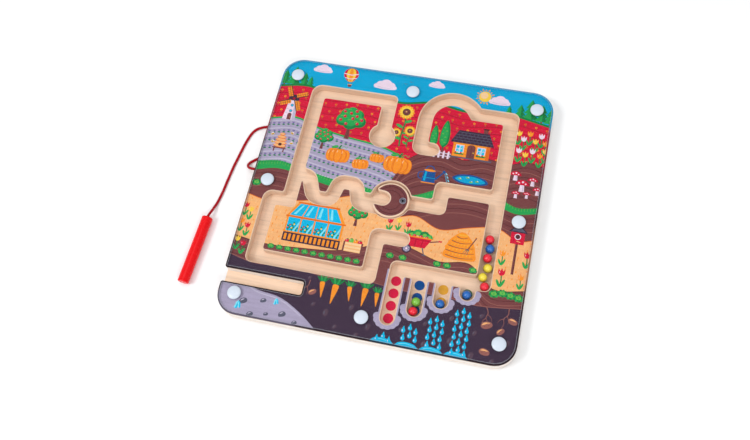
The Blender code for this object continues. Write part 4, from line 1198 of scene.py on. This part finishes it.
def draw_slot(b, x, foot):
    """The stone round a sorting slot, and the rain and the water below it."""
    b.box("lavender", x - 9.6, foot, x + 9.6, -74)
    for turn in range(8):
        u, v = polar(9.8, 8.6, -180 + 180 * turn / 7)
        b.oval("lavender", x + u, foot + v, 4.1, 3.7, count=18)
    for turn in range(3):
        angle = math.radians(-140 + 50 * turn)
        b.line("pale_lavender", [
            (x + across * math.cos(angle + lean), foot + up * math.sin(angle + lean))
            for across, up, lean in ((10.6, 9.8, -0.3), (12.6, 11.2, 0), (10.6, 9.8, 0.3))], 0.6, 0.3)
    pool = [(x - 12, -148), (x - 8, -144.6), (x - 1, -143.4), (x + 7, -144.8), (x + 12, -148.6)]
    b.land("cyan", pool)
    b.line("pale_cyan", raised(pool[1:-1], -1.5), 0.6, 0.3)
    for row in range(math.ceil((foot + 125) / 7.6)):
        for step in (-1, 0, 1):
            draw_drop(b.at(x + 6 * step + 0.8 * (row % 2), foot - 18 - 7.6 * row - 3.4 * (step % 2), 1.1))


def picture():
    """A country garden under a wide sky, as a list of (colour, shape), the lowest first."""
    b = Brush([])
    draw_sky(b)
    draw_land(b)

    b.each(draw_windmill, (-130, 93, 0.95))
    b.each(draw_hive, (-131, 49))
    b.each(draw_tree, (-62, 82, 1.12), (-86, 58, 0.72))
    b.each(draw_pumpkin, (-66, 40, 1.15), (-40, 34, 0.8, 5), (-1, 40, 1.35, -4), (-24, 44, 0.7))
    b.each(draw_sunflower, (-4, 104, 1.05), stem=40)
    b.each(draw_sunflower, (4, 82, 0.72), stem=28)
    b.each(draw_sunflower, (-10, 78, 0.6), stem=20)
    b.each(draw_poplar, (31, 80), (42, 84, 1.25))
    b.each(draw_cottage, (72, 74, 1.08))
    b.each(draw_fence, (37, 60, 0.95), posts=6)
    b.each(draw_can, (34, 33, 0.85))
    draw_pond(b)
    for x, y, colour in ((118.5, 98, "yellow"), (124, 92, "cloud"), (130, 99, "orange"), (136.5, 91, "yellow"),
                         (142, 98, "cloud"), (147, 90, "orange"), (121, 78, "cloud"), (128, 74, "yellow"),
                         (135, 79, "cloud"), (143, 75, "orange"), (148, 81, "yellow")):
        draw_tulip(b.at(x, y, 1.25), colour)
    b.each(draw_mushroom, (122, 50, 1.2), (130, 40, 1.5), (140, 46, 1.1), (146, 36), (136, 30, 0.8), (125, 29, 0.9))
    b.each(draw_birdhouse, (134, -18, 1.15))
    for x, y, size in ((122, -38, 1), (146, -36, 1.1), (124, -58, 1.2), (143, -60, 0.95)):
        draw_tulip(b.at(x, y, 1.25 * size), "red" if size > 1 else "orange", 9)
    b.each(draw_lettuce, *((x, -80 + x % 3, 1.15) for x in (120, 128, 136, 144)))
    b.each(draw_greenhouse, (-71, -46, 1.08))
    b.each(draw_crate, (-27, -58, 0.85))
    b.each(draw_lettuce, *((x, -72.5, 0.8) for x in range(-110, -14, 9)))
    b.each(draw_wheelbarrow, (37, -41, 0.86))
    b.each(draw_haystack, (80, -38, 1.1))
    b.each(draw_lettuce, *((x, -60, 0.9) for x in (12, 25, 60, 70, 96)))
    b.each(draw_tree, (-30, -22, 0.72))
    for x, y, size, colour, stem in ((5, -24, 1.2, "red", 8), (14, -22, 1.1, "yellow", 9), (24, -25, 1.2, "red", 8),
                                     (-147, -34, 1.2, "red", 9), (-141, -38, 1.2, "yellow", 9),
                                     (-147, -52, 1.2, "orange", 9), (-140, -56, 1.2, "red", 9),
                                     (-146, -72, 1.2, "yellow", 9), (-139, -76, 1.2, "red", 9)):
        draw_tulip(b.at(x, y, size), colour, stem)
    b.each(draw_lettuce, (-144, -6, 1.1), (-137, 0, 0.9))

    b.each(draw_carrot, (-48, -101, 1.05, 6), (-34, -102, 1.3, -5), (-20, -101, 0.95, 8), (-4, -100, 1.2, -3),
           (8, -102, 0.9, 5))
    b.each(draw_tuber, (118, -112, 1.2, 15), (142, -104, 1, -20), (132, -116, 0.9, 40), (120, -138, 1.1, -10),
           (-56, -112, 0.9, 30))
    for x, y, size in ((-62, -98, 0.6), (-14, -120, 0.9), (-38, -130, 1.1), (-26, -142, 0.7), (6, -136, 1),
                       (-52, -124, 0.7), (38, -132, 0.8), (60, -122, 0.7), (62, -142, 0.9), (84, -112, 0.8),
                       (86, -134, 1), (108, -122, 0.8), (112, -104, 0.7), (140, -126, 0.9), (128, -146, 0.8),
                       (146, -142, 0.7), (108, -144, 1), (-4, -146, 0.8)):
        draw_stone(b.at(x, y, size, 70 * size))
    b.each(draw_root, (-62, -104, 1, -20), (116, -98, 1, 10), (136, -96, 1, -14))
    for x, foot, _, _ in SLOTS:
        draw_slot(b, x, foot)
    return b.art


# The pieces

def placed(shape):
    """A plan shape in millimetres from the board's middle, as a counter-clockwise loop in the frame."""
    return counter_clockwise([Vector((x * MM, y * MM)) + MIDDLE for x, y in shape])


def middle(node):
    lower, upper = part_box(node)
    return (lower + upper) / 2


def build_floor():
    """The studio's floor, which isn't a part of the object."""
    mesh = bmesh.new()
    bmesh.ops.create_grid(mesh, x_segments=1, y_segments=1, size=FLOOR_SIZE)
    s = Shader("studio_floor", Roughness=0.9, Specular_IOR_Level=0.1)
    tone = s.ramp(s.noise(3, 2, 0.5), [(0.3, (0.93,) * 3), (0.7, (0.95,) * 3)])
    finished("studio_floor", mesh, [s.done(tone)])


def build_board(wood, ply, side, sheet, inks):
    """The back panel with the printed dots, the maze panel with the printed face, and the clear cover. The panels'
    outer sides take a paler copy of the plywood edge as painted light, and the cover's edge has a painted reflection
    with painted shade and a painted highlight along its rim.
    """
    panel = [wood, ply, side] + inks
    dots = [(colour, placed(ellipse(x, FIRST_DOT - DOT_PITCH * k, DOT_RADIUS, count=40)))
            for x, _, colour, count in SLOTS for k in range(count)]
    plate("back_board", ("board", "back_panel", "bare_wood"), BACK_ROUNDS, panel, (2, 1), dots)
    art = [(colour, placed(shape)) for colour, shape in picture()]
    plate("maze_board", ("board", "maze_panel", "printed_wood"), MAZE_ROUNDS, panel, (2, 1), art, LANE_CORNER)
    plate("cover_sheet", ("board", "cover", "clear_acrylic"), COVER_ROUNDS, sheet, (1, 1),
          rim=(2, 1), spread=COVER_SPREAD)


def build_rivets(white):
    """Domed caps on hollow shanks, and the headed pins below."""
    shank_radius, bore, bore_end = 3, 2, -6.6
    head_radius, head, pin_radius, pin_end, under, edge = 6, 2.6, 1.7, 11.6, 0.5, 0.3
    foot = [(0, 0)] + corner(head_radius - under, under, under, -90)
    foot += corner(head_radius - edge, head - edge, edge, 0)
    foot += [(pin_radius, head), (pin_radius, pin_end - edge), (pin_radius - edge, pin_end), (0, pin_end)]
    dome = [polar(CAP_RADIUS, CAP_DOME, 9 * step) for step in range(1, 10)] + [(0, CAP_DOME)]
    for number in range(1, 9):
        node = f"rivet_cap_{number}"
        lower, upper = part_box(node)
        x, y, _ = middle(node)
        base = upper.z - (CAP_RIM + CAP_DOME) * MM
        shank_end = (lower.z - base) / MM
        cap = [(0, bore_end), (bore, bore_end), (bore, shank_end), (shank_radius, shank_end), (shank_radius, 0)]
        cap += [(CAP_RADIUS - CAP_EDGE, 0), (CAP_RADIUS, CAP_EDGE), (CAP_RADIUS, CAP_RIM)] + raised(dome, CAP_RIM)
        turned(f"cap_{number}", cap, [white], ("board", node, "white_plastic"), (x, y, base))
        turned(f"foot_{number}", foot, [white], ("board", f"rivet_foot_{number}", "white_plastic"), (x, y, 0))


def build_gate(wood, ply, inks, steel, shaded_steel):
    """The printed disc with its notch, and the eyelet, whose hidden bands are darker."""
    rings = zip((17.7, 15.6, 14.7, 11.2, 10.4), (72, 64, 64, 56, 56), ("brown", "dark_brown") * 3)
    art = [(colour, placed(ellipse(0, 0, radius, count=count))) for radius, count, colour in rings]
    art += [("dark_brown", placed(ellipse(*polar(16.6, 16.6, angle), 0.75, 0.4, angle, 12)))
            for angle in range(0, 360, 15)]
    plate("gate_plate", ("gate", "gate_disc", "brown_printed_wood"), DISC_ROUNDS, [wood, ply] + inks, (1, 1), art)
    x, y, _ = middle("gate_eyelet")
    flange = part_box("gate_eyelet")[1].z - 0.7 * MM
    bore, barrel, end = 1.3, 2.4, -6
    profile = [(bore, end), (barrel, end), (barrel, 0), (3.5, 0), (3.6, 0.15), (3.5, 0.45), (3.2, 0.65), (2.9, 0.68),
               (2.6, 0.55), (barrel, 0.15), (2.1, 0.1), (1.9, 0.4), (1.65, 0.55), (1.4, 0.45), (bore, 0.1)]
    turned("eyelet", profile, [steel, shaded_steel], ("gate", "gate_eyelet", "steel"), (x, y, flange),
           bands=(0, 8, 9, 14))


def build_balls(colours):
    """Ten lacquered balls, each in its own place."""
    for name, node in sorted(frame["nodes"].items()):
        if name.startswith("ball_"):
            colour = name.split("_")[1]
            mesh = bmesh.new()
            bmesh.ops.create_icosphere(mesh, subdivisions=4, radius=BALL_RADIUS)
            mesh.transform(Matrix.Translation(middle(name)))
            for face in mesh.faces:
                face.smooth = True
            finished(name.replace("ball", "bead"), mesh, [colours[colour]], node["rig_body"], name, colour + "_ball")


def build_wand(red, steel):
    """The wand: a barrel with a rounded end, the plug at its tip and the magnet inside."""
    tip = WAND_FACE + WAND_LENGTH
    seam = tip - CAP_LENGTH
    mouth, bore, spigot, magnet_radius = 1.55, 4.2, 3.9, 3.6
    rim, bevel = 0.3, 0.12
    rounded, narrowed = WAND_RADIUS - WAND_EDGE, WAND_RADIUS - bevel
    floor, lip, foot = WAND_FACE + 1.3, seam + 0.05, seam - SPIGOT_LENGTH
    barrel = [(mouth, WAND_FACE + rim), (mouth + rim, WAND_FACE)]
    barrel += corner(rounded, WAND_FACE + WAND_EDGE, WAND_EDGE, -90, 6)
    barrel += [(WAND_RADIUS, seam - bevel), (narrowed, seam), (bore, seam), (bore, floor), (mouth, floor)]
    plug = [(0, foot), (spigot, foot), (spigot, lip), (narrowed, lip), (WAND_RADIUS, lip + bevel)]
    plug += corner(rounded, tip - WAND_EDGE, WAND_EDGE, 0, 6) + [(0, tip)]
    end = foot - 0.45
    start = end - MAGNET_LENGTH
    magnet = [(0, start)] + corner(magnet_radius, start + rim, rim, -90, 3)
    magnet += corner(magnet_radius, end - rim, rim, 0, 3) + [(0, end)]
    for name, profile, material, node, slot in (
            ("wand_tube", barrel, red, "wand_barrel", "red_plastic"),
            ("wand_cap", plug, red, "wand_plug", "red_plastic"),
            ("bar_magnet", magnet, steel, "wand_magnet", "steel")):
        turned(name, profile, [material], ("wand", node, slot), WAND_POINT, WAND_HEADING)


def build_knot(name, node, body, fibre, place):
    """A small tight knot, as a tube along a closed curve."""
    turns = [math.tau * k / KNOT_STEPS for k in range(KNOT_STEPS)]
    path = [place + KNOT_SIZE * Vector((
        math.sin(t) + 2 * math.sin(2 * t), math.cos(t) - 2 * math.cos(2 * t), -math.sin(3 * t))) for t in turns]
    return tube(name, path + path[:1], KNOT_RADIUS, fibre, 10, (body, node, "red_braid"))


def build_cord(fibre, shaded_wood):
    """The cord from its knot in the board to the bend at the wand, and the short end that goes into the wand."""
    # A flat ring of dark wood on the board's side is painted shade in place of a hole's mouth
    hole, rim, depth = 1.2, 1.9, -0.4
    ring = [(hole, depth), (rim, depth), (rim, 0.03), (hole, 0.05)]
    mouth = (BOARD_LEFT, CORD_ROUTE[1][1] * MM, CORD_ROUTE[1][2] * MM)
    turned("cord_mouth", ring, [shaded_wood], ("board",), mouth, (-1, 0, 0), 28)
    anchor = middle("anchor_knot")
    start = Vector((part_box("anchor_knot")[0].x - 0.3 * MM, anchor.y, anchor.z))
    route = [Vector((BOARD_LEFT + out * MM, along * MM, height * MM)) for out, along, height in CORD_ROUTE]
    end, inside = (WAND_POINT + WAND_HEADING * ((WAND_FACE + past) * MM) for past in (CORD_END, KNOT_DEPTH))
    line = evenly([start] + route + [WAND_POINT, end], CORD_STEP)
    parting = LIFT_POINT - WAND_HEADING * PARTED
    join = min(range(len(line)), key=lambda k: (line[k] - parting).length)
    run = line[:join + 1]
    main = tube("cord_run", run, CORD_RADIUS, fibre, role=(None, "cord", "red_braid"))
    tail = tube("cord_tail", line[join:], CORD_RADIUS, fibre, role=(None, "cord_lead", "red_braid"))
    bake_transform(main)
    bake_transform(tail)
    build_knot("knot_in_board", "anchor_knot", "board", fibre, anchor)
    inner = build_knot("knot_in_wand", "wand_knot", "wand", fibre, inside)


def build_view():
    """The camera at the photograph's place, and soft light from the upper left."""
    camera = bpy.data.objects.new("camera", bpy.data.cameras.new("camera"))
    right, forward = CAMERA_RIGHT.normalized(), CAMERA_FORWARD.normalized()
    camera.matrix_world = Matrix.Translation(CAMERA_PLACE) @ Matrix(
        (right, right.cross(forward), -forward)).transposed().to_4x4()
    camera.data.sensor_width, camera.data.lens, camera.data.clip_start = CAMERA_SENSOR, CAMERA_LENS, CAMERA_CLIP
    bpy.context.scene.collection.objects.link(camera)
    bpy.context.scene.camera = camera

    world = bpy.data.worlds.new("studio")
    world.use_nodes = True
    background = world.node_tree.nodes["Background"].inputs
    background["Color"].default_value, background["Strength"].default_value = WORLD_COLOUR, WORLD_STRENGTH
    bpy.context.scene.world = world
    for name, place, size, power in LIGHTS:
        light = bpy.data.lights.new(name, "AREA")
        light.size, light.energy = size, power
        lamp = bpy.data.objects.new(name, light)
        lamp.location = place
        lamp.rotation_euler = (-Vector(place)).to_track_quat("-Z", "Y").to_euler()
        bpy.context.scene.collection.objects.link(lamp)
    bpy.context.scene.view_settings.view_transform = "Standard"


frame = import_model()
build_view()
build_floor()
bare_wood = wood_material("bare_wood", (244, 214, 190))
plies = ply_material("plywood_edge", (244, 214, 188))
# A paler copy of the plywood edge for the board's outer sides: painted light, so they look brightly lit
painted_light_plies = ply_material("plywood_side_painted_light", (246, 238, 230))
ink_set = [print_material(name, rgb) for name, rgb in PALETTE.items()]
plated_steel = metal_material("plated_steel", (166, 164, 178), 0.34)
# The cover's edge: a painted reflection of the print, darkened as painted shade, and a pale painted highlight along
# the top of its rounded rim
clear_sheet = [clear_material("clear_acrylic", (150, 158, 170), 0.006, 0.3, 0.06), edge_material("acrylic_edge_painted_reflection"),
               clear_material("acrylic_rim_painted_highlight", (226, 232, 242), 0.18, 0.4, 0.1)]
build_board(bare_wood, plies, painted_light_plies, clear_sheet, ink_set)
build_rivets(plastic_material("white_plastic", (207, 216, 228), 0.32))
build_gate(bare_wood, plies, ink_set, plated_steel, metal_material("steel_in_shade", (58, 56, 70), 0.5))
build_balls({name: ball_material(name + "_ball", rgb) for name, rgb in BALL_COLOURS.items()})
build_wand(plastic_material("red_plastic", (230, 6, 16), 0.26, 0.22), plated_steel)
build_cord(braid_material("red_braid", (158, 4, 22)), wood_material("shaded_wood", (96, 66, 50)))
